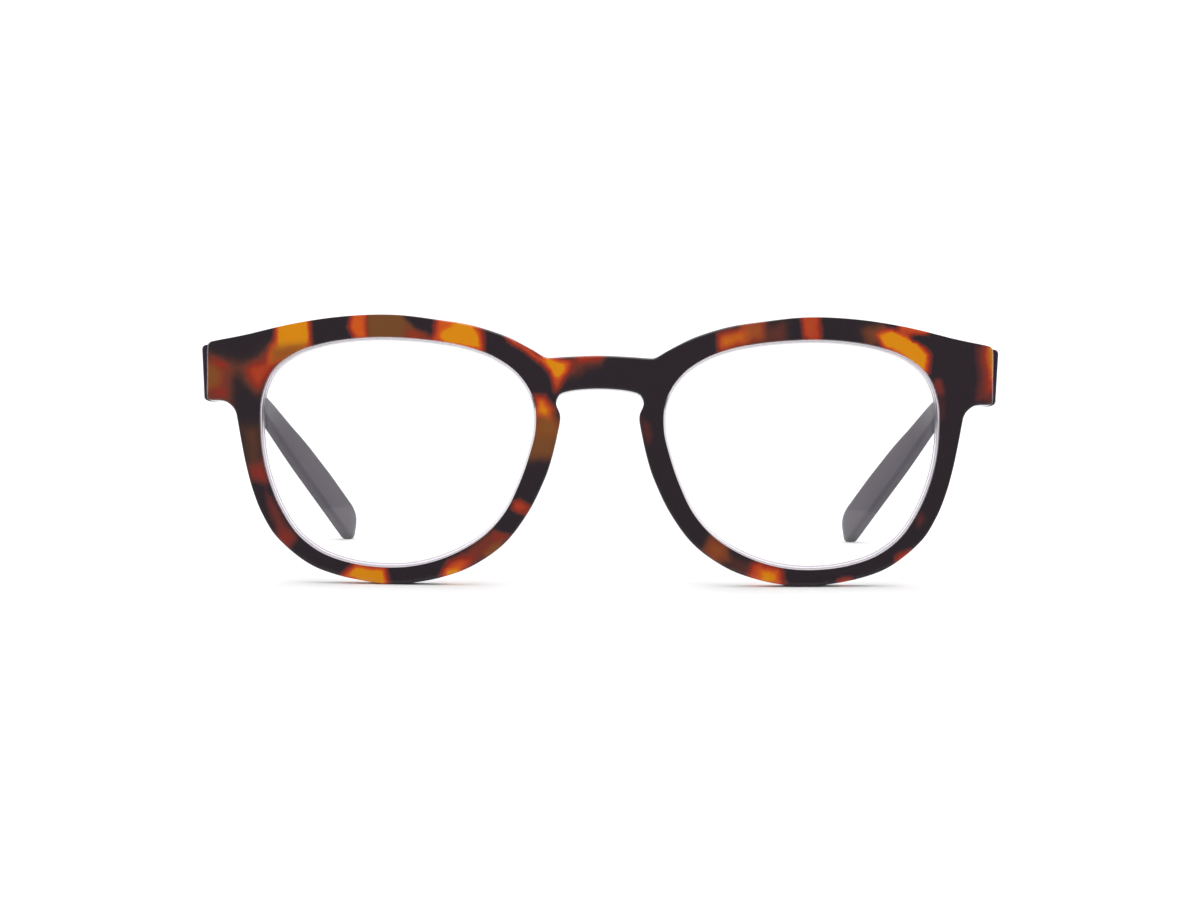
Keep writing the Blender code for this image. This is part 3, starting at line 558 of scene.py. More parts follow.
def capPlan(loops, holes, seats):
    # Triangles between the first loop and the holes, with points all over for the pattern
    low, high = loops[0].min(axis=0), loops[0].max(axis=0)
    step = front["faceStep"]
    columns = np.arange(low[0], high[0], step)
    rows = np.arange(low[1], high[1], step * front["rowShare"])
    grid = np.array([(x + (index % 2) * step / 2, z) for index, z in enumerate(rows) for x in columns])
    keep = insideLoop(grid, loops[0])
    for loop in holes + seats:
        keep &= ~insideLoop(grid, loop)
    grid = grid[keep]
    for loop in loops + holes + seats:
        near = np.full(len(grid), np.inf)
        for point in loop[::2]:
            near = np.minimum(near, np.hypot(grid[:, 0] - point[0], grid[:, 1] - point[1]))
        grid = grid[near > step * front["edgeClearShare"]]
    plan, edges, first = [], [], 0
    for loop in loops + holes + seats:
        plan.extend(Vector(point) for point in loop)
        edges.extend(loopEdges(first, len(loop)))
        first += len(loop)
    plan.extend(Vector(point) for point in grid)
    found = delaunay_2d_cdt(plan, edges, [], 0, 1e-8)
    places = np.array([tuple(place) for place in found[0]])
    triangles = np.array(found[2])
    origins = np.array([origin[0] for origin in found[3]])
    middles = places[triangles].mean(axis=1)
    keep = insideLoop(middles, loops[0])
    for loop in holes + seats:
        keep &= ~insideLoop(middles, loop)
    return grid, origins[triangles[keep]]


def seatLoop(side):
    inner = hingeX - hinge["frontLeafWidth"] - hinge["seatGap"]
    outer = hingeX + hinge["knuckleRadius"] + hinge["seatGap"]
    half = hinge["leafHeight"] / 2 + hinge["seatGap"]
    corners = np.array([(inner, hingeZ - half), (outer, hingeZ - half), (outer, hingeZ + half),
                        (inner, hingeZ + half)])
    points = []
    for start, end in zip(corners, np.roll(corners, -1, axis=0)):
        pieces = round(float(np.linalg.norm(end - start)) / front["seatStep"])
        points.extend(start + (end - start) * piece / pieces for piece in range(pieces))
    return onSide(side, np.array(points))


def edgeRounding(outline, hand, grooved):
    if grooved:
        return np.full(len(outline), front["openingRound"])
    across = np.abs(outline[:, 0])
    facing, full = front["noseFacing"]
    overNose = smoothShare((-hand[:, 1] - facing) / (full - facing))
    overNose = overNose * smoothShare(1 - (across / front["noseReach"]) ** front["noseFade"])
    atEnd = smoothShare(((across - temporalEdge) / endSpan - 1) / front["sideShare"] + 1)
    held = front["outerRound"] + (front["noseRound"] - front["outerRound"]) * overNose
    return roundRadius(outline, held + (front["sideRound"] - front["outerRound"]) * atEnd)


def edgeProfile(held, grooved):
    # From the face to the back: how far in from the outline, and how deep
    thickness, middle = front["thickness"], front["thickness"] / 2
    rounding = []
    for step in range(front["roundSteps"] + 1):
        angle = math.pi / 2 * step / front["roundSteps"]
        rounding.append((held * (1 - math.sin(angle)), held * (1 - math.cos(angle))))
    groove = []
    if grooved:
        groove = [(0, middle - front["grooveHalf"]), (front["grooveReach"], middle),
                  (0, middle + front["grooveHalf"])]
    return rounding + groove + [(offset, thickness - depth) for offset, depth in reversed(rounding)]


def frontShape():
    shell = Shell()
    thickness = front["thickness"]
    outlines = [(frontOutline(front["outlineStep"]), False)]
    outlines += [(openingOutline(side, front["outlineStep"]), True) for side in (1, -1)]
    faceLoops, backLoops, faceRings, backRings = [], [], [], []
    for outline, grooved in outlines:
        hand = leftHand(outline)
        rings, loops = [], []
        for offset, depth in edgeProfile(edgeRounding(outline, hand, grooved), grooved):
            loop = outline + hand * np.reshape(offset * np.ones(len(outline)), (-1, 1))
            loops.append(loop)
            rings.append(shell.add(frontPlace(loop, depth * np.ones(len(outline)))))
        shell.bands(rings)
        faceLoops.append(loops[0])
        backLoops.append(loops[-1])
        faceRings += rings[0]
        backRings += rings[-1]
    grid, triangles = capPlan(faceLoops[:1], faceLoops[1:], [])
    numbers = np.array(faceRings + shell.add(frontPlace(grid, np.zeros(len(grid)))))
    shell.faces.extend(map(tuple, numbers[triangles].tolist()))

    seats = [seatLoop(side) for side in (1, -1)]
    grid, triangles = capPlan(backLoops[:1], backLoops[1:], seats)
    seatRings = [shell.add(frontPlace(seat, np.full(len(seat), thickness))) for seat in seats]
    numbers = np.array(backRings + seatRings[0] + seatRings[1]
                       + shell.add(frontPlace(grid, np.full(len(grid), thickness))))
    shell.faces.extend(map(tuple, numbers[triangles].tolist()))
    for seat, ring in zip(seats, seatRings):
        floor = frontPlace(seat, np.full(len(seat), thickness))
        floor[:, 1] -= hinge["leafThickness"] + hinge["seatGap"]
        floorRing = shell.add(floor)
        shell.band(ring, floorRing)
        shell.faces.append(tuple(floorRing))
    return shell.mesh("frontShell")


# The tortoiseshell: soft patches over a dark ground, each given as its tone from dark 0 through red
# and orange to amber 1, its share of olive brown, the width of its soft edge, and its corners in
# millimetres from the middle and above the rims' foot

shellPattern = {
    "perMetre": 1000,            # millimetres
    "seed": 5,                   # without one the noise follows the clock
    "warpScale": 0.45,           # per millimetre
    "warpReach": 0.30,           # millimetres
    "fineScale": 1.3,
    "fineReach": 0.16,
    "patches": (
        # endpiece, right eye
        (0.21, 0.25, 4.4, ((-71.0, 41.0), (-68.4, 40.1), (-65.1, 39.1), (-62.2, 39.3), (-58.3, 42.5),
                           (-57.2, 39.7), (-60.7, 33.7), (-62.9, 35.5), (-64.8, 37.5), (-66.0, 36.2),
                           (-65.9, 32.0), (-70.9, 32.0))),
        (0.27, 0.10, 2.8, ((-70.6, 40.2), (-66.6, 38.7), (-66.4, 36.2), (-66.7, 32.7), (-70.5, 32.4))),
        (0.46, 0.00, 1.8, ((-69.3, 40.3), (-67.0, 39.3), (-66.6, 38.3), (-68.3, 38.7))),
        (0.37, 0.00, 2.0, ((-68.2, 35.2), (-66.5, 34.5), (-66.5, 32.9), (-69.2, 33.2))),
        (0.48, 0.80, 1.9, ((-71.0, 39.0), (-69.0, 39.0), (-67.5, 37.3), (-68.3, 35.2), (-71.0, 34.2))),
        (0.54, 0.00, 2.8, ((-63.1, 38.0), (-61.9, 39.0), (-59.0, 39.2), (-58.3, 38.3), (-60.7, 34.4),
                           (-62.2, 36.2))),
        (0.47, 0.05, 3.0, ((-60.1, 40.1), (-58.3, 41.8), (-57.6, 40.1), (-59.0, 37.9))),
        # top rim, right eye
        (0.90, 0.20, 2.3, ((-57.6, 46.4), (-51.9, 47.4), (-51.6, 42.3), (-54.0, 39.7), (-58.8, 39.2),
                           (-58.5, 40.8), (-57.7, 43.9))),
        (1.00, 0.00, 2.5, ((-57.3, 46.4), (-52.5, 47.4), (-52.2, 43.2), (-54.7, 42.5), (-57.1, 42.9))),
        (0.78, 0.75, 2.3, ((-58.5, 41.7), (-54.7, 42.3), (-51.9, 42.3), (-54.0, 39.7), (-58.6, 39.0))),
        (0.71, 0.00, 1.9, ((-44.2, 48.1), (-41.3, 48.1), (-41.1, 43.2), (-43.5, 43.2), (-44.6, 45.3))),
        (0.22, 0.78, 1.2, ((-41.2, 48.1), (-35.6, 48.1), (-33.5, 45.6), (-31.7, 43.8), (-36.2, 43.1),
                           (-41.1, 43.2))),
        (0.44, 0.20, 2.0, ((-34.2, 45.4), (-32.4, 44.9), (-29.6, 43.1), (-32.0, 42.8), (-34.8, 43.1))),
        (0.95, 0.00, 2.7, ((-28.5, 47.3), (-22.2, 46.3), (-20.9, 44.5), (-20.8, 40.9), (-27.1, 42.1),
                           (-29.2, 43.1))),
        (0.69, 0.00, 2.3, ((-28.9, 47.0), (-26.1, 46.6), (-26.1, 45.4), (-28.3, 44.2), (-29.4, 43.1))),
        # temporal rim, right eye
        (0.09, 0.28, 4.4, ((-63.8, 27.7), (-60.6, 27.7), (-60.0, 23.1), (-60.6, 20.7), (-63.1, 20.7))),
        (0.33, 0.00, 3.0, ((-62.4, 20.7), (-59.8, 21.4), (-58.8, 18.6), (-59.2, 17.2), (-61.9, 18.6))),
        (0.26, 0.00, 3.0, ((-59.2, 15.8), (-58.0, 14.7), (-55.8, 10.5), (-53.9, 8.1), (-55.0, 5.9),
                           (-57.1, 7.3), (-57.5, 10.5), (-58.8, 13.3))),
        (0.31, 0.00, 2.4, ((-56.6, 9.1), (-55.0, 8.9), (-53.9, 7.7), (-55.3, 6.3), (-56.8, 7.5))),
        # bottom rim, right eye
        (0.95, 0.00, 2.5, ((-43.0, 3.4), (-37.8, 2.9), (-37.2, -0.6), (-40.7, -0.6), (-45.5, 1.1))),
        (0.40, 0.10, 1.4, ((-15.3, 14.8), (-14.0, 15.1), (-12.0, 13.8), (-12.8, 12.0), (-13.9, 12.7),
                           (-15.5, 13.5))),
        (0.52, 0.00, 1.2, ((-15.0, 14.5), (-13.9, 14.4), (-12.8, 13.5), (-13.9, 13.1), (-15.0, 13.7))),
        (0.29, 0.10, 2.2, ((-18.5, 9.6), (-15.7, 8.7), (-17.2, 6.7), (-20.5, 4.5), (-23.1, 3.2),
                           (-24.0, 5.1), (-21.4, 7.3))),
        (0.42, 0.85, 1.2, ((-18.7, 7.1), (-17.0, 7.8), (-17.4, 6.3), (-19.6, 4.9), (-20.3, 5.6))),
        (0.38, 0.05, 1.3, ((-18.7, 9.3), (-16.1, 8.9), (-16.3, 8.0), (-18.5, 7.8))),
        (0.67, 0.00, 2.5, ((-26.4, 3.9), (-24.3, 4.7), (-22.5, 4.1), (-23.2, 2.7), (-25.7, 0.9),
                           (-27.9, 1.2))),
        (0.95, 0.00, 1.9, ((-26.9, 2.3), (-24.6, 2.8), (-24.3, 1.8), (-27.1, 0.7))),
        # nasal rim, right eye
        (0.26, 0.80, 3.6, ((-12.5, 27.4), (-6.6, 27.4), (-8.2, 22.6), (-12.8, 22.2))),
        (0.62, 0.90, 2.7, ((-11.6, 30.7), (-8.9, 31.4), (-7.0, 27.6), (-7.0, 26.4), (-12.3, 26.2),
                           (-11.1, 28.2))),
        (0.85, 0.05, 2.3, ((-11.4, 33.1), (-9.6, 32.9), (-8.4, 30.7), (-8.9, 29.5), (-11.3, 29.8))),
        # bridge
        (0.17, 0.10, 3.2, ((-6.1, 39.9), (1.4, 40.6), (0.2, 38.7), (-2.7, 38.0), (-4.5, 36.4),
                           (-6.7, 35.8))),
        (0.47, 0.00, 1.8, ((-4.6, 40.9), (1.1, 40.9), (0.2, 39.5), (-3.9, 39.0))),
        (0.66, 0.00, 1.3, ((-16.9, 44.0), (-13.7, 42.4), (-11.2, 40.7), (-9.6, 39.3), (-10.9, 39.2),
                           (-13.7, 41.3), (-15.6, 42.4))),
        (0.47, 0.00, 2.0, ((-6.3, 39.6), (-4.6, 39.4), (-4.9, 37.7), (-6.1, 37.4))),
        (0.95, 0.00, 2.1, ((-10.4, 40.7), (-5.8, 39.3), (-5.8, 37.7), (-7.1, 35.5), (-7.7, 35.5),
                           (-9.9, 38.9))),
        (0.62, 0.10, 1.7, ((-8.3, 36.4), (-7.1, 36.4), (-7.0, 34.8), (-7.8, 33.9), (-8.3, 35.2))),
        (0.17, 0.00, 3.6, ((7.3, 29.3), (9.2, 28.6), (9.5, 25.8), (8.7, 23.9), (7.5, 26.4))),
        # top rim, left eye
        (0.17, 0.10, 3.2, ((27.1, 45.9), (33.0, 46.7), (33.0, 42.8), (26.4, 42.1))),
        (0.62, 0.60, 2.3, ((25.1, 46.3), (28.8, 46.7), (28.5, 43.8), (25.5, 42.8))),
        (0.78, 0.30, 2.3, ((20.9, 44.1), (25.1, 45.6), (26.2, 44.5), (25.8, 42.8), (20.9, 41.1))),
        (0.58, 0.05, 1.7, ((35.1, 48.1), (39.0, 48.2), (39.2, 43.3), (36.2, 43.2))),
        (0.26, 0.50, 3.2, ((46.8, 45.5), (50.4, 46.7), (50.4, 43.8), (47.9, 42.7))),
        (0.95, 0.00, 2.3, ((49.0, 44.5), (51.5, 46.0), (55.1, 44.6), (58.7, 41.5), (58.3, 38.3),
                           (57.2, 37.6), (54.3, 40.4), (50.4, 42.4))),
        (0.67, 0.00, 1.7, ((52.9, 47.1), (58.7, 45.8), (58.3, 44.7), (55.1, 44.8), (53.3, 45.3))),
        (0.00, 0.00, 0.9, ((50.4, 46.7), (52.9, 46.5), (52.7, 45.5), (51.1, 45.6))),
        (0.00, 0.00, 0.9, ((55.1, 44.3), (58.3, 44.9), (58.7, 42.9), (55.8, 43.4))),
        # endpiece, left eye
        (0.22, 0.00, 2.6, ((67.0, 42.7), (70.3, 43.2), (70.2, 33.2), (67.3, 33.2), (67.7, 37.8))),
        (0.46, 0.10, 1.6, ((68.3, 43.6), (71.0, 43.6), (71.0, 34.4), (69.3, 34.8))),
        (0.88, 0.45, 1.0, ((69.1, 43.8), (71.0, 43.8), (71.0, 36.9), (69.8, 37.4))),
        # temporal rim, left eye
        (0.16, 0.00, 3.2, ((59.8, 36.6), (61.0, 36.3), (61.4, 29.6), (60.5, 29.5))),
        (0.37, 0.00, 2.0, ((59.6, 37.0), (60.8, 36.8), (61.0, 34.6), (60.2, 34.6))),
        (0.16, 0.00, 2.8, ((55.8, 11.9), (57.6, 13.3), (58.3, 11.9), (56.5, 10.2))),
        (0.51, 0.00, 1.8, ((52.6, 5.4), (55.1, 6.5), (55.8, 5.6), (52.9, 3.8))),
        # bottom rim, left eye
        (0.62, 0.00, 1.9, ((42.3, 1.2), (44.4, 1.7), (45.1, 0.6), (41.9, -0.1))),
        (0.12, 0.10, 3.2, ((23.0, 5.4), (27.2, 3.7), (27.2, 0.9), (23.0, 2.6))),
        (0.85, 0.00, 2.5, ((27.9, 4.0), (31.7, 3.0), (32.6, -0.1), (29.3, -0.1), (26.2, 0.9))),
        (0.62, 0.05, 1.9, ((26.9, 3.7), (28.6, 3.9), (28.2, 1.6), (26.9, 0.9))),
        (0.47, 0.65, 2.8, ((19.8, 8.5), (22.3, 7.1), (22.6, 4.7), (19.9, 4.3), (18.8, 6.4))),
    ),
}


def warped(points):
    # The patches' edges wander a little, as in poured acetate
    noise.seed_set(shellPattern["seed"])
    moved = points.copy()
    for scale, reach in ((shellPattern["warpScale"], shellPattern["warpReach"]),
                         (shellPattern["fineScale"], shellPattern["fineReach"])):
        shift = [noise.noise_vector(Vector(point) * scale) for point in points]
        moved += np.array([tuple(part) for part in shift]) * reach
    return moved


def inwardReach(points, corners):
    # How far each point lies inside a patch, less than nothing outside
    loop = np.array(corners)
    nearest = np.full(len(points), np.inf)
    for start, end in zip(loop, np.roll(loop, -1, axis=0)):
        edge = end - start
        share = np.clip((points - start) @ edge / (edge @ edge), 0, 1)
        nearest = np.minimum(nearest, np.linalg.norm(points - start - share[:, None] * edge, axis=1))
    return np.where(insideLoop(points, loop), nearest, -nearest)


def meshPlaces(mesh):
    points = np.empty(len(mesh.vertices) * 3)
    mesh.vertices.foreach_get("co", points)
    return points.reshape(-1, 3)


def paintPattern(mesh):
    count = len(mesh.vertices)
    moved = warped(meshPlaces(mesh) * shellPattern["perMetre"])[:, [0, 2]]
    tone, olive = np.zeros(count), np.zeros(count)
    for patchTone, patchOlive, soft, corners in shellPattern["patches"]:
        weight = smoothShare(0.5 + inwardReach(moved, corners) / soft)
        tone += (patchTone - tone) * weight
        olive += (patchOlive - olive) * weight
    colours = np.stack([tone, olive, np.zeros(count), np.ones(count)], axis=1)
    layer = mesh.attributes.new("shell", "FLOAT_COLOR", "POINT")
    layer.data.foreach_set("color", colours.ravel().astype(np.float32))


def finishPiece(name, mesh, paints, body, replaced, sharpAngle=35):
    mesh.name = name
    mesh.materials.clear()
    for paint in paints:
        mesh.materials.append(paint)
    mesh.shade_smooth()
    mesh.set_sharp_from_angle(angle=math.radians(sharpAngle))
    thing = bpy.data.objects.new(name, mesh)
    bpy.context.scene.collection.objects.link(thing)
    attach(thing, body)
    if replaced:
        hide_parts(*replaced)
    print(name, "made,", len(mesh.polygons), "faces")
    return thing


def standOn(mesh):
    # Leans the upright shape back into its resting place and flattens its foot on the floor
    mesh.transform(standing)
    points = meshPlaces(mesh)
    points[:, 2] = np.maximum(points[:, 2], 0.0)
    mesh.vertices.foreach_set("co", points.ravel())
    mesh.update()


def makeFront():
    mesh = frontShape()
    paintPattern(mesh)
    standOn(mesh)
    finishPiece("frontShell", mesh, [acetatePaint("frontAcetate")], "front", ["front_frame"])


# Geometry Nodes helpers

def startTree(name, sizes):
    tree = bpy.data.node_groups.new(name, "GeometryNodeTree")
    tree.interface.new_socket("Geometry", in_out="INPUT", socket_type="NodeSocketGeometry")
    for label, value in sizes.items():
        socket = tree.interface.new_socket(label, in_out="INPUT", socket_type="NodeSocketFloat")
        socket.default_value = value
    tree.interface.new_socket("Geometry", in_out="OUTPUT", socket_type="NodeSocketGeometry")
    return tree, addNode(tree, "NodeGroupInput")


def named(tree, name, kind="FLOAT"):
    return addNode(tree, "GeometryNodeInputNamedAttribute", {"Name": name},
                   data_type=kind).outputs["Attribute"]


def placed(tree, entry, place):
    # The shape that comes in, with each of its points moved to its place
    return addNode(tree, "GeometryNodeSetPosition", {
        "Geometry": entry.outputs["Geometry"], "Position": place}).outputs["Geometry"]


def endTree(tree, shape, paint=None):
    shape = addNode(tree, "GeometryNodeRealizeInstances", {"Geometry": shape}).outputs["Geometry"]
    if paint is not None:
        shape = addNode(tree, "GeometryNodeSetMaterial", {
            "Geometry": shape, "Material": paint}).outputs["Geometry"]
    addNode(tree, "NodeGroupOutput", {"Geometry": shape})


def settled(thing, *others):
    # The object's mesh after its modifiers; the objects themselves go
    bpy.context.view_layer.update()
    evaluated = thing.evaluated_get(bpy.context.evaluated_depsgraph_get())
    mesh = bpy.data.meshes.new_from_object(evaluated)
    for other in (thing, *others):
        bpy.data.objects.remove(other, do_unlink=True)
    return mesh


def grow(base, tree, sizes):
    # The base mesh after the tree, as a plain mesh
    thing = bpy.data.objects.new("growing", base)
    bpy.context.scene.collection.objects.link(thing)
    modifier = thing.modifiers.new("grow", "NODES")
    modifier.node_group = tree
    for item in tree.interface.items_tree:
        if item.in_out == "INPUT" and item.name in sizes:
            modifier[item.identifier] = float(sizes[item.name])
    return settled(thing)


def addLayer(mesh, name, values, kind="FLOAT", domain="POINT"):
    layer = mesh.attributes.new(name, kind, domain)
    key = "vector" if kind == "FLOAT_VECTOR" else "value"
    layer.data.foreach_set(key, np.asarray(values, dtype=float).ravel())


# The lenses: a flat plan of rings that the tree bends to the bow and swells on both faces

lens = {
    "edgeThickness": 0.0016,
    "shoulder": 0.0002,
    "bevel": 0.0006,
    "frontBulge": 0.0012,
    "backBulge": 0.00065,
    "step": 0.0009,
    "rings": 12,
    "narrowRing": 0.00024,       # the frosted ring at the brow and by the nose
    "wideRing": 0.00058,         # and at the cheek and the temple
    "wideWay": (0.62, -0.80),    # outwards and down
    "wideEase": 0.9,
}


def lensTree():
    sizes = {"Bow radius": front["bowRadius"], "Depth": front["thickness"] / 2,
             "Edge thickness": lens["edgeThickness"], "Front bulge": lens["frontBulge"],
             "Back bulge": lens["backBulge"]}
    tree, entry = startTree("lensSwell", sizes)
    parts = addNode(tree, "ShaderNodeSeparateXYZ", {0: addNode(tree, "GeometryNodeInputPosition").outputs[0]})
    across = parts.outputs["X"]
    share, side = named(tree, "share"), named(tree, "side")
    bend = calc(tree, "DIVIDE", calc(tree, "MULTIPLY", across, across),
                calc(tree, "MULTIPLY", entry.outputs["Bow radius"], 2.0))
    half = calc(tree, "MULTIPLY", entry.outputs["Edge thickness"], calc(tree, "MULTIPLY", side, 0.5))
    isFront = calc(tree, "LESS_THAN", side, -0.5)
    isBack = calc(tree, "GREATER_THAN", side, 0.5)
    bulge = calc(tree, "ADD", calc(tree, "MULTIPLY", isFront, entry.outputs["Front bulge"]),
                 calc(tree, "MULTIPLY", isBack, entry.outputs["Back bulge"]))
    fall = calc(tree, "SUBTRACT", 1.0, calc(tree, "MULTIPLY", share, share))
    depth = calc(tree, "ADD", calc(tree, "ADD", bend, entry.outputs["Depth"]), half)
    depth = calc(tree, "SUBTRACT", depth, calc(tree, "MULTIPLY", bulge, fall))
    moved = addNode(tree, "ShaderNodeCombineXYZ", {"X": across, "Y": depth, "Z": parts.outputs["Z"]})
    endTree(tree, placed(tree, entry, moved.outputs[0]))
    return tree, sizes


def lensPlan(side):
    outline = openingOutline(side, lens["step"])
    hand = leftHand(outline)
    centre = np.array([side * lensCentreX, lensCentreZ])
    shoulder = outline - hand * lens["shoulder"]
    apex = outline + hand * lens["bevel"]
    reach = shoulder - centre
    length = np.linalg.norm(reach, axis=1)
    way = reach / length[:, None]
    towards = way[:, 0] * side * lens["wideWay"][0] + way[:, 1] * lens["wideWay"][1]
    wide = smoothShare(0.5 + lens["wideEase"] * towards)
    ring = lens["narrowRing"] + (lens["wideRing"] - lens["narrowRing"]) * wide
    clearShare = 1 - ring / length
    shell = Shell()
    layers = {"share": [], "side": [], "outwards": []}

    def addRing(plan, *values):
        # Points of the plan, with their share of the way out, their face and whether they edge the bevel
        for layer, value in zip(layers.values(), values):
            layer.append(value * np.ones(len(plan)))
        return shell.add(np.stack([plan[:, 0], np.zeros(len(plan)), plan[:, 1]], axis=1))

    allRings = []
    for face in (-1.0, 1.0):
        middle = addRing(centre[None], 0.0, face, 0.0)
        shares = [clearShare * (index + 1) / lens["rings"] for index in range(lens["rings"])]
        rings = [addRing(centre + reach * share[:, None], share, face, 0.0) for share in shares]
        rings.append(addRing(centre + reach, 1.0, face, 1.0))
        for index in range(len(rings[0])):
            shell.faces.append((rings[0][index - 1], rings[0][index], middle[0]))
        shell.bands(rings[:-1])
        allRings.append(rings)
    clearFaces = len(shell.faces)
    apexRing = addRing(apex, 1.0, 0.0, 1.0)
    for rings in allRings:
        shell.band(rings[-2], rings[-1])
        shell.band(rings[-1], apexRing)
    mesh = bpy.data.meshes.new("lensPlan")
    mesh.from_pydata(np.concatenate(shell.places).tolist(), [], shell.faces)
    for name, values in layers.items():
        addLayer(mesh, name, np.concatenate(values))
    return mesh, clearFaces


def makeLenses():
    glass, bevel = lensPaints()
    tree, sizes = lensTree()
    for side, word in ((1, "left"), (-1, "right")):
        plan, clearFaces = lensPlan(side)
        mesh = grow(plan, tree, sizes)
        kinds = np.zeros(len(mesh.polygons), dtype=np.int32)
        kinds[clearFaces:] = 1
        turnOutwards(mesh)
        mesh.transform(standing)
        piece = finishPiece("lens" + word.capitalize(), mesh, [glass, bevel], "front",
                            ["lens_" + word])
        piece.data.polygons.foreach_set("material_index", kinds)


# The temples: a rounded section that the tree carries along the line of the arm

def templeAngles(distance):
    # How far the arm drops and turns outwards at a distance along it
    straight = temple["length"] - temple["tipLength"]
    bend = float(smoothShare((distance - straight + temple["bendLength"] / 2) / temple["bendLength"]))
    start = temple["straightStart"]
    along = min(max((distance - start) / (straight - start), 0), 1)
    outward = temple["splay"] * float(smoothShare(along / temple["splayEase"])) * (1 - bend)
    outward += temple["bow"] * math.sin(2 * math.pi * along)
    return math.radians(temple["tipDrop"] * bend), math.radians(outward - temple["tipInward"] * bend)


def heading(drop, turn):
    return Vector((math.sin(turn) * math.cos(drop), math.cos(turn) * math.cos(drop), -math.sin(drop)))


def templeLine(distances):
    place = Vector((templeInnerX + temple["frontThickness"] / 2, endpieceBack + temple["buttGap"], hingeZ))
    reached = 0.0
    frames = []
    for distance in distances:
        while reached < distance - 1e-9:
            stride = min(temple["walkStep"], distance - reached)
            place = place + stride * heading(*templeAngles(reached + stride / 2))
            reached += stride
        along = heading(*templeAngles(distance))
        outward = along.cross(Vector((0, 0, 1))).normalized()
        roll = temple["endRoll"] * (1 - float(smoothShare(distance / temple["rollLength"])))
        outward = Matrix.Rotation(math.radians(roll), 3, along) @ outward
        frames.append((place.copy(), outward, outward.cross(along)))
    return frames


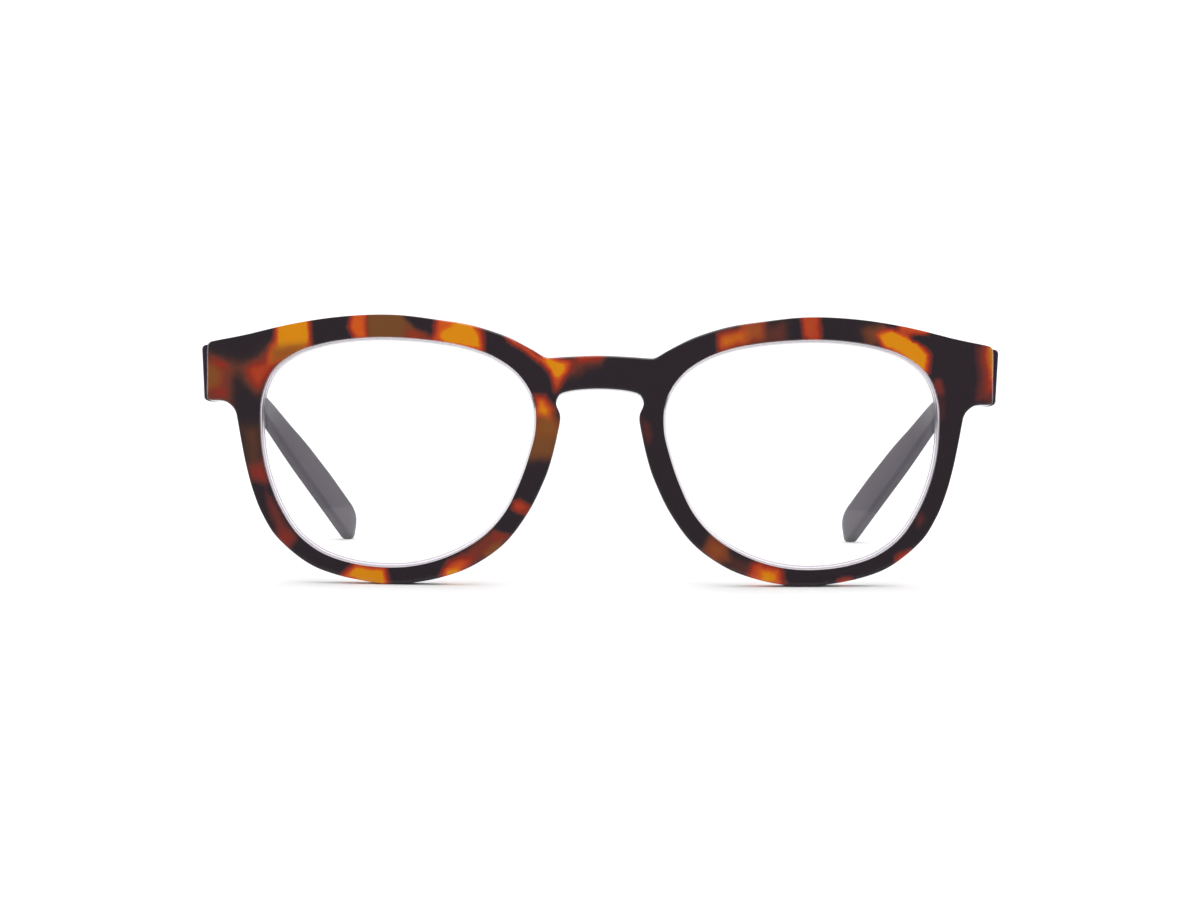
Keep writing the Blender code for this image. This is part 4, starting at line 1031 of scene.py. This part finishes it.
def templeTree(paint):
    sizes = {"Front thickness": temple["frontThickness"], "Tip thickness": temple["tipThickness"],
             "Front height": temple["frontHeight"], "Tip height": temple["tipHeight"],
             "Corner round": temple["cornerRound"], "Length": temple["length"],
             "Tip length": temple["tipLength"], "Paddle start": temple["paddleStart"],
             "Paddle length": temple["paddleLength"], "Paddle lift": temple["paddleLift"],
             "Top end share": temple["topEndShare"], "End thin": temple["endThin"],
             "End thin length": temple["endThinLength"], "Waist start": temple["waistStart"],
             "Waist length": temple["waistLength"], "Waist end": temple["waistEnd"],
             "Waist fade": temple["waistFade"], "Waist below": temple["waistBelow"],
             "Waist above": temple["waistAbove"]}
    tree, entry = startTree("templeSweep", sizes)

    def tapered(first, last, amount):
        change = calc(tree, "SUBTRACT", entry.outputs[last], entry.outputs[first])
        return calc(tree, "MULTIPLY_ADD", change, amount, entry.outputs[first])

    def smooth(share):
        return calc(tree, "MULTIPLY", calc(tree, "MULTIPLY", share, share),
                    calc(tree, "MULTIPLY_ADD", share, -2.0, 3.0))

    def shareAlong(start, length):
        share = calc(tree, "SUBTRACT", distance, entry.outputs[start])
        share = calc(tree, "DIVIDE", share, entry.outputs[length])
        return calc(tree, "MAXIMUM", calc(tree, "MINIMUM", share, 1.0), 0.0)

    distance, inset = named(tree, "distance"), named(tree, "inset")
    straight = calc(tree, "SUBTRACT", entry.outputs["Length"], entry.outputs["Tip length"])
    eased = smooth(calc(tree, "MINIMUM", calc(tree, "DIVIDE", distance, straight), 1.0))
    halfTip = calc(tree, "MULTIPLY", entry.outputs["Tip height"], 0.5)
    isTop = calc(tree, "GREATER_THAN", named(tree, "signUp"), 0.0)
    longer = calc(tree, "SUBTRACT", entry.outputs["Top end share"], 1.0)
    longer = calc(tree, "MULTIPLY_ADD", isTop, longer, 1.0)
    ending = calc(tree, "MULTIPLY", halfTip, longer)
    body = calc(tree, "SUBTRACT", entry.outputs["Length"], ending)
    past = calc(tree, "DIVIDE", calc(tree, "MAXIMUM", calc(tree, "SUBTRACT", distance, body), 0.0), ending)
    paddle = calc(tree, "MULTIPLY", shareAlong("Paddle start", "Paddle length"), isTop)
    paddle = calc(tree, "MULTIPLY", paddle, entry.outputs["Paddle lift"])
    rounding = calc(tree, "SQRT", calc(tree, "MAXIMUM", calc(tree, "SUBTRACT", 1.0,
                                                             calc(tree, "MULTIPLY", past, past)), 0.0))
    thick = calc(tree, "MULTIPLY", tapered("Front thickness", "Tip thickness", eased), 0.5)
    thick = calc(tree, "SUBTRACT", calc(tree, "MULTIPLY", thick, rounding), inset)
    high = calc(tree, "MULTIPLY_ADD", tapered("Front height", "Tip height", eased), 0.5, paddle)
    waist = calc(tree, "MULTIPLY", smooth(shareAlong("Waist start", "Waist length")),
                 calc(tree, "SUBTRACT", 1.0, smooth(shareAlong("Waist end", "Waist fade"))))
    waist = calc(tree, "MULTIPLY", waist, tapered("Waist below", "Waist above", isTop))
    high = calc(tree, "SUBTRACT", high, waist)
    high = calc(tree, "SUBTRACT", calc(tree, "MULTIPLY", high, rounding), inset)
    held = calc(tree, "MINIMUM", entry.outputs["Corner round"],
                calc(tree, "MULTIPLY", calc(tree, "MINIMUM", thick, high), temple["cornerShare"]))
    thinning = calc(tree, "SUBTRACT", 1.0, calc(tree, "DIVIDE", distance, entry.outputs["End thin length"]))
    thinning = calc(tree, "MULTIPLY", calc(tree, "MAXIMUM", thinning, 0.0), entry.outputs["End thin"])
    isOuter = calc(tree, "GREATER_THAN", named(tree, "signAcross"), 0.0)
    thick = calc(tree, "SUBTRACT", thick, calc(tree, "MULTIPLY", thinning, isOuter))
    place = named(tree, "station", "FLOAT_VECTOR")
    for half, signName, roundName, wayName in ((thick, "signAcross", "roundAcross", "outward"),
                                               (high, "signUp", "roundUp", "upward")):
        corner = calc(tree, "MULTIPLY", named(tree, signName), calc(tree, "SUBTRACT", half, held))
        offset = calc(tree, "MULTIPLY_ADD", named(tree, roundName), held, corner)
        scaled = addNode(tree, "ShaderNodeVectorMath", {
            0: named(tree, wayName, "FLOAT_VECTOR"), "Scale": offset}, operation="SCALE")
        place = addNode(tree, "ShaderNodeVectorMath", {
            0: place, 1: scaled.outputs[0]}, operation="ADD").outputs[0]
    endTree(tree, placed(tree, entry, place), paint)
    return tree, sizes


def templePlan():
    body = temple["length"] - temple["tipHeight"] / 2
    edge = temple["endRound"]
    stations = []
    for step in range(temple["endStations"]):
        angle = math.pi / 2 * step / (temple["endStations"] - 1)
        stations.append((edge * (1 - math.cos(angle)), edge * (1 - math.sin(angle))))
    count = round((body - edge) / temple["stationStep"])
    stations += [(edge + (body - edge) * index / count, 0.0) for index in range(1, count + 1)]
    for index in range(1, temple["tipStations"] + 1):
        angle = math.radians(temple["tipTurn"]) * index / temple["tipStations"]
        stations.append((body + math.sin(angle) * temple["tipHeight"] / 2, 0.0))
    corners = []
    for signAcross, signUp, quarter in ((1, 1, 0), (-1, 1, 1), (-1, -1, 2), (1, -1, 3)):
        for step in range(temple["cornerSteps"] + 1):
            angle = math.pi / 2 * (quarter + step / temple["cornerSteps"])
            corners.append((signAcross, signUp, math.cos(angle), math.sin(angle)))
    lines = templeLine([distance for distance, _ in stations])
    shell = Shell()
    rings, rows = [], []
    for (distance, inset), (place, outward, upward) in zip(stations, lines):
        rings.append(shell.add([tuple(place)] * len(corners)))
        station = (distance, inset, tuple(place), tuple(outward), tuple(upward))
        rows += [(*station, *corner) for corner in corners]
    shell.bands(rings)
    shell.faces += [tuple(rings[0]), tuple(rings[-1])]
    mesh = bpy.data.meshes.new("templePlan")
    mesh.from_pydata(np.concatenate(shell.places).tolist(), [], shell.faces)
    for index, name in enumerate(("distance", "inset", "station", "outward", "upward", "signAcross",
                                  "signUp", "roundAcross", "roundUp")):
        kind = "FLOAT_VECTOR" if index in (2, 3, 4) else "FLOAT"
        addLayer(mesh, name, [row[index] for row in rows], kind)
    return mesh


def boxMesh(low, high):
    mesh = bpy.data.meshes.new("box")
    work = bmesh.new()
    bmesh.ops.create_cube(work, size=1.0)
    for vertex in work.verts:
        vertex.co = Vector([low[axis] if vertex.co[axis] < 0 else high[axis] for axis in range(3)])
    work.to_mesh(mesh)
    work.free()
    return mesh


def cutFrom(base, cutter):
    # The base with the cutter's shape taken out
    scene = bpy.context.scene.collection
    thing, tool = bpy.data.objects.new("cutting", base), bpy.data.objects.new("cutter", cutter)
    scene.objects.link(thing)
    scene.objects.link(tool)
    modifier = thing.modifiers.new("cut", "BOOLEAN")
    modifier.operation = "DIFFERENCE"
    modifier.object = tool
    return settled(thing, tool)


def dropLayers(mesh):
    kept = {"position", "shell", "outwards", "sharp_face", "sharp_edge", "material_index"}
    for name in [layer.name for layer in mesh.attributes if not layer.name.startswith(".")]:
        if name not in kept:
            mesh.attributes.remove(mesh.attributes[name])


def makeTemples():
    paint = templePaint()
    tree, sizes = templeTree(paint)
    arm = grow(templePlan(), tree, sizes)
    half = hinge["leafHeight"] / 2 + hinge["seatGap"]
    overrun = temple["cutOverrun"]
    arm = cutFrom(arm, boxMesh((templeInnerX - overrun, endpieceBack - overrun, hingeZ - half),
                               (templeInnerX + hinge["leafThickness"] + hinge["seatGap"],
                                hingeY + hinge["templeLeafLength"] + hinge["seatGap"], hingeZ + half)))
    for side, word in ((1, "left"), (-1, "right")):
        mesh = arm.copy()
        dropLayers(mesh)
        mesh.transform(Matrix.Diagonal((side, 1, 1, 1)))
        turnOutwards(mesh)
        standOn(mesh)
        finishPiece("temple" + word.capitalize(), mesh, [paint], word + "_temple",
                    ["temple_" + word])


# Nose pads

pad = {
    "length": 0.0135,
    "width": 0.0028,
    "depth": 0.0046,
    "flare": 0.0008,
    "glueGap": 0.0003,
    "edgeInset": 0.0006,
    "heightShare": 0.470,
    "endPower": 0.6,
    "stations": 24,
    "sides": 32,
    "sharpAngle": 60,            # degrees
    "cloud": (110.0, 2.0, 0.5, (1, 1, 1)),
    "tonePlaces": (("dark", 0.42), ("redBrown", 0.56), ("orange", 0.72)),
}


def padPaint():
    paint, tree, shader = newPaint("padAcetate")
    colour = ramp(tree, speckle(tree, pad["cloud"]), acetate, pad["tonePlaces"])
    fill(tree, shader, {"Base Color": colour, "Roughness": acetate["roughness"],
                        "Specular IOR Level": acetate["specular"]})
    return paint


def makePads():
    paint = padPaint()
    outline = frontOutline(front["outlineStep"])
    inner = outline[(outline[:, 0] > 0) & (outline[:, 0] < lensCentreX)]
    middle = pad["heightShare"] * frontHeight
    shell = Shell()
    rings = []
    for station in range(1, pad["stations"]):
        turn = math.pi * station / pad["stations"]
        height = middle - math.cos(turn) * pad["length"] / 2
        full = math.sin(turn) ** pad["endPower"]
        crossing = []
        for start, end in zip(inner, inner[1:]):
            if min(start[1], end[1]) <= height < max(start[1], end[1]):
                crossing.append(start[0] + (height - start[1]) / (end[1] - start[1]) * (end[0] - start[0]))
        edge = min(crossing) + pad["edgeInset"]
        ring = []
        for index in range(pad["sides"]):
            angle = 2 * math.pi * index / pad["sides"]
            back = (1 - math.cos(angle)) / 2 * pad["depth"] * full
            across = edge + pad["width"] / 2 + math.sin(angle) * pad["width"] / 2 * full
            across += pad["flare"] * back / pad["depth"]
            ring.append((across, bow(across) + front["thickness"] + pad["glueGap"] + back, height))
        rings.append(shell.add(ring))
    shell.bands(rings)
    shell.faces += [tuple(rings[0]), tuple(rings[-1])]
    base = shell.mesh("pad")
    for side, word in ((1, "Left"), (-1, "Right")):
        mesh = base.copy()
        mesh.transform(Matrix.Diagonal((side, 1, 1, 1)))
        turnOutwards(mesh)
        mesh.transform(standing)
        finishPiece("nosePad" + word, mesh, [paint], "front",
                    ["nose_pad_" + word.lower()], pad["sharpAngle"])


# Metal parts

metal = {
    "leaf": {"name": "hingeNickel", "colour": (0.66, 0.64, 0.60), "roughness": 0.28,
             "marks": (900.0, 3.0, 0.6, (1, 1, 6))},
    "screw": {"name": "screwSteel", "colour": (0.72, 0.72, 0.74), "roughness": 0.22,
              "marks": (1500.0, 3.0, 0.6, (1, 1, 1))},
    "wire": {"name": "nickelWire", "colour": (0.62, 0.60, 0.56), "roughness": 0.30,
             "marks": (1200.0, 3.0, 0.6, (1, 0.1, 1))},
    "darkShare": 0.82,           # of the colour, in the marks
    "markPlaces": (("dark", 0.3), ("light", 0.7)),
    "roughnessSpread": 0.16,
    "edgeRound": 0.00007,
    "edgeSegments": 2,
    "edgeAngle": 40,             # degrees, as the two below
    "sharpAngle": 25,
    "flatAngle": 2,
    "weldReach": 1e-6,
}


def metalPaint(look):
    paint, tree, shader = newPaint(look["name"])
    marks = speckle(tree, look["marks"])
    darker = tuple(part * metal["darkShare"] for part in look["colour"])
    colour = ramp(tree, marks, {"dark": darker, "light": look["colour"]}, metal["markPlaces"])
    spread = metal["roughnessSpread"]
    roughness = calc(tree, "MULTIPLY_ADD", marks, spread, look["roughness"] - spread / 2)
    fill(tree, shader, {"Base Color": colour, "Roughness": roughness, "Metallic": 1.0})
    return paint


def mergedCopy(node):
    # The solid's mesh with its doubled corners and its flat facets joined
    mesh = node.data.copy()
    work = bmesh.new()
    work.from_mesh(mesh)
    bmesh.ops.remove_doubles(work, verts=work.verts, dist=metal["weldReach"])
    bmesh.ops.dissolve_limit(work, angle_limit=math.radians(metal["flatAngle"]), verts=work.verts,
                             edges=work.edges)
    bmesh.ops.recalc_face_normals(work, faces=work.faces)
    work.to_mesh(mesh)
    work.free()
    return mesh


def makeLeaves():
    paint = metalPaint(metal["leaf"])
    for word in ("left", "right"):
        for kind, body in (("front", "front"), ("temple", word + "_temple")):
            node = cadNodes[kind + "_hinge_leaf_" + word]
            thing = finishPiece(kind + "Leaf" + word.capitalize(), mergedCopy(node), [paint], body,
                                [node.name], metal["sharpAngle"])
            modifier = thing.modifiers.new("edge", "BEVEL")
            modifier.width = metal["edgeRound"]
            modifier.segments = metal["edgeSegments"]
            modifier.limit_method = "ANGLE"
            modifier.angle_limit = math.radians(metal["edgeAngle"])


def dressRest():
    # The wires inside the arms keep the solids' own meshes
    paint = metalPaint(metal["wire"])
    for name, node in cadNodes.items():
        if "wire" in name:
            node.data.materials.clear()
            node.data.materials.append(paint)


# Screws: one slotted screw that the tree sets at each of its places

screw = {
    "hingeHeadRadius": 0.0011,
    "hingeHeadHeight": 0.0005,
    "hingeShankRadius": 0.00055,
    "leafHeadRadius": 0.0009,
    "leafHeadHeight": 0.00035,
    "leafShankRadius": 0.00040,
    "leafDepth": 0.0012,
    "slotWidth": 0.0003,
    "slotDepth": 0.00018,
    "slotLength": 3.0,           # radii of the head, so that it runs out at both sides
    "seatGap": 0.0001,
    "headBevel": 0.00012,
    "sides": 32,
    "rise": 0.29,                # shares of the leaf's height and of its length
    "near": 0.46,
    "far": 0.80,
}


def screwTree(paint):
    sizes = {"Head radius": 0.0, "Head height": 0.0, "Shank radius": 0.0, "Shank length": 0.0,
             "Slot width": screw["slotWidth"], "Slot depth": screw["slotDepth"],
             "Head bevel": screw["headBevel"]}
    tree, entry = startTree("slottedScrew", sizes)
    size = entry.outputs
    gap = screw["seatGap"]

    def lift(shape, height):
        place = addNode(tree, "ShaderNodeCombineXYZ", {"Z": height})
        return addNode(tree, "GeometryNodeTransform", {
            "Geometry": shape, "Translation": place.outputs[0]}).outputs["Geometry"]

    def turned(low, high, radius, topRadius):
        # A round piece between two heights along the screw
        cone = addNode(tree, "GeometryNodeMeshCone", {
            "Vertices": screw["sides"], "Radius Bottom": radius, "Radius Top": topRadius,
            "Depth": calc(tree, "SUBTRACT", high, low)})
        return lift(cone.outputs["Mesh"], low)

    def joined(operation, shapes, first=None):
        node = addNode(tree, "GeometryNodeMeshBoolean", operation=operation, solver="EXACT")
        if first is not None:
            tree.links.new(first, node.inputs["Mesh 1"])
        for shape in shapes:
            tree.links.new(shape, node.inputs["Mesh 2"])
        return node.outputs["Mesh"]

    top = calc(tree, "ADD", size["Head height"], gap)
    rim = calc(tree, "SUBTRACT", top, size["Head bevel"])
    bevelled = calc(tree, "SUBTRACT", size["Head radius"], size["Head bevel"])
    body = joined("UNION", [turned(gap, rim, size["Head radius"], size["Head radius"]),
                            turned(rim, top, size["Head radius"], bevelled),
                            turned(calc(tree, "MULTIPLY", size["Shank length"], -1.0),
                                   calc(tree, "MULTIPLY", rim, 0.5), size["Shank radius"],
                                   size["Shank radius"])])
    extent = addNode(tree, "ShaderNodeCombineXYZ", {
        "X": calc(tree, "MULTIPLY", size["Head radius"], screw["slotLength"]), "Y": size["Slot width"],
        "Z": calc(tree, "MULTIPLY", size["Slot depth"], 2.0)})
    slot = addNode(tree, "GeometryNodeMeshCube", {"Size": extent.outputs[0]})
    body = joined("DIFFERENCE", [lift(slot.outputs["Mesh"], top)], body)
    setEach = addNode(tree, "GeometryNodeInstanceOnPoints", {
        "Points": size["Geometry"], "Instance": body, "Rotation": named(tree, "turn", "QUATERNION")})
    endTree(tree, setEach.outputs["Instances"], paint)
    return tree, sizes


def screwPoints(seats):
    # Each seat is a place, the way the shank goes in and the way the slot runs
    turns = []
    for _, inward, slotWay in seats:
        turns.append(tuple(Matrix((slotWay, slotWay.cross(inward), -inward)).transposed().to_quaternion()))
    mesh = bpy.data.meshes.new("screwSeats")
    mesh.from_pydata([tuple(place) for place, _, _ in seats], [], [])
    addLayer(mesh, "turn", turns, "QUATERNION")
    return mesh


def mirroredSeats(seats):
    flip = Matrix.Diagonal((-1, 1, 1))
    return [tuple(flip @ part for part in seat) for seat in seats]


def makeScrews():
    paint = metalPaint(metal["screw"])
    tree, sizes = screwTree(paint)
    frontWay, outerWay, up = Vector((0, -1, 0)), Vector((1, 0, 0)), Vector((0, 0, 1))
    half = hinge["leafHeight"] / 2
    rise = hinge["leafHeight"] * screw["rise"]
    across = hingeX - hinge["knuckleRadius"] - (hinge["frontLeafWidth"] - hinge["knuckleRadius"]) / 2
    near, far = (hingeY + hinge["templeLeafLength"] * screw[key] for key in ("near", "far"))
    hingeSeats = [(Vector((hingeX, hingeY, hingeZ + half)), -up, outerWay)]
    frontSeats = [(Vector((across, endpieceBack, hingeZ + way * rise)), frontWay, up) for way in (1, -1)]
    templeSeats = [(Vector((templeInnerX, near, hingeZ + rise)), outerWay, up),
                   (Vector((templeInnerX, far, hingeZ - rise)), outerWay, up)]
    leafSizes = {"Head radius": screw["leafHeadRadius"], "Head height": screw["leafHeadHeight"],
                 "Shank radius": screw["leafShankRadius"],
                 "Shank length": hinge["leafThickness"] + screw["leafDepth"]}
    hingeSizes = {"Head radius": screw["hingeHeadRadius"], "Head height": screw["hingeHeadHeight"],
                  "Shank radius": screw["hingeShankRadius"], "Shank length": hinge["leafHeight"]}
    jobs = [("hingeScrews", "front", hingeSizes, hingeSeats + mirroredSeats(hingeSeats),
             ["hinge_screw_left", "hinge_screw_right"]),
            ("frontLeafScrews", "front", leafSizes, frontSeats + mirroredSeats(frontSeats),
             ["front_leaf_screw_%s_%s" % (height, word) for height in ("upper", "lower")
              for word in ("left", "right")])]
    for word, seats in (("left", templeSeats), ("right", mirroredSeats(templeSeats))):
        jobs.append(("templeLeafScrews" + word.capitalize(), word + "_temple", leafSizes, seats,
                     ["temple_leaf_screw_%s_%s" % (end, word) for end in ("front", "rear")]))
    for name, body, own, seats, replaced in jobs:
        mesh = grow(screwPoints(seats), tree, {**sizes, **own})
        dropLayers(mesh)
        mesh.transform(standing)
        finishPiece(name, mesh, [paint], body, replaced)


makeCamera()
makeStudio()
makeFront()
makeLenses()
makeTemples()
makePads()
makeLeaves()
makeScrews()
dressRest()
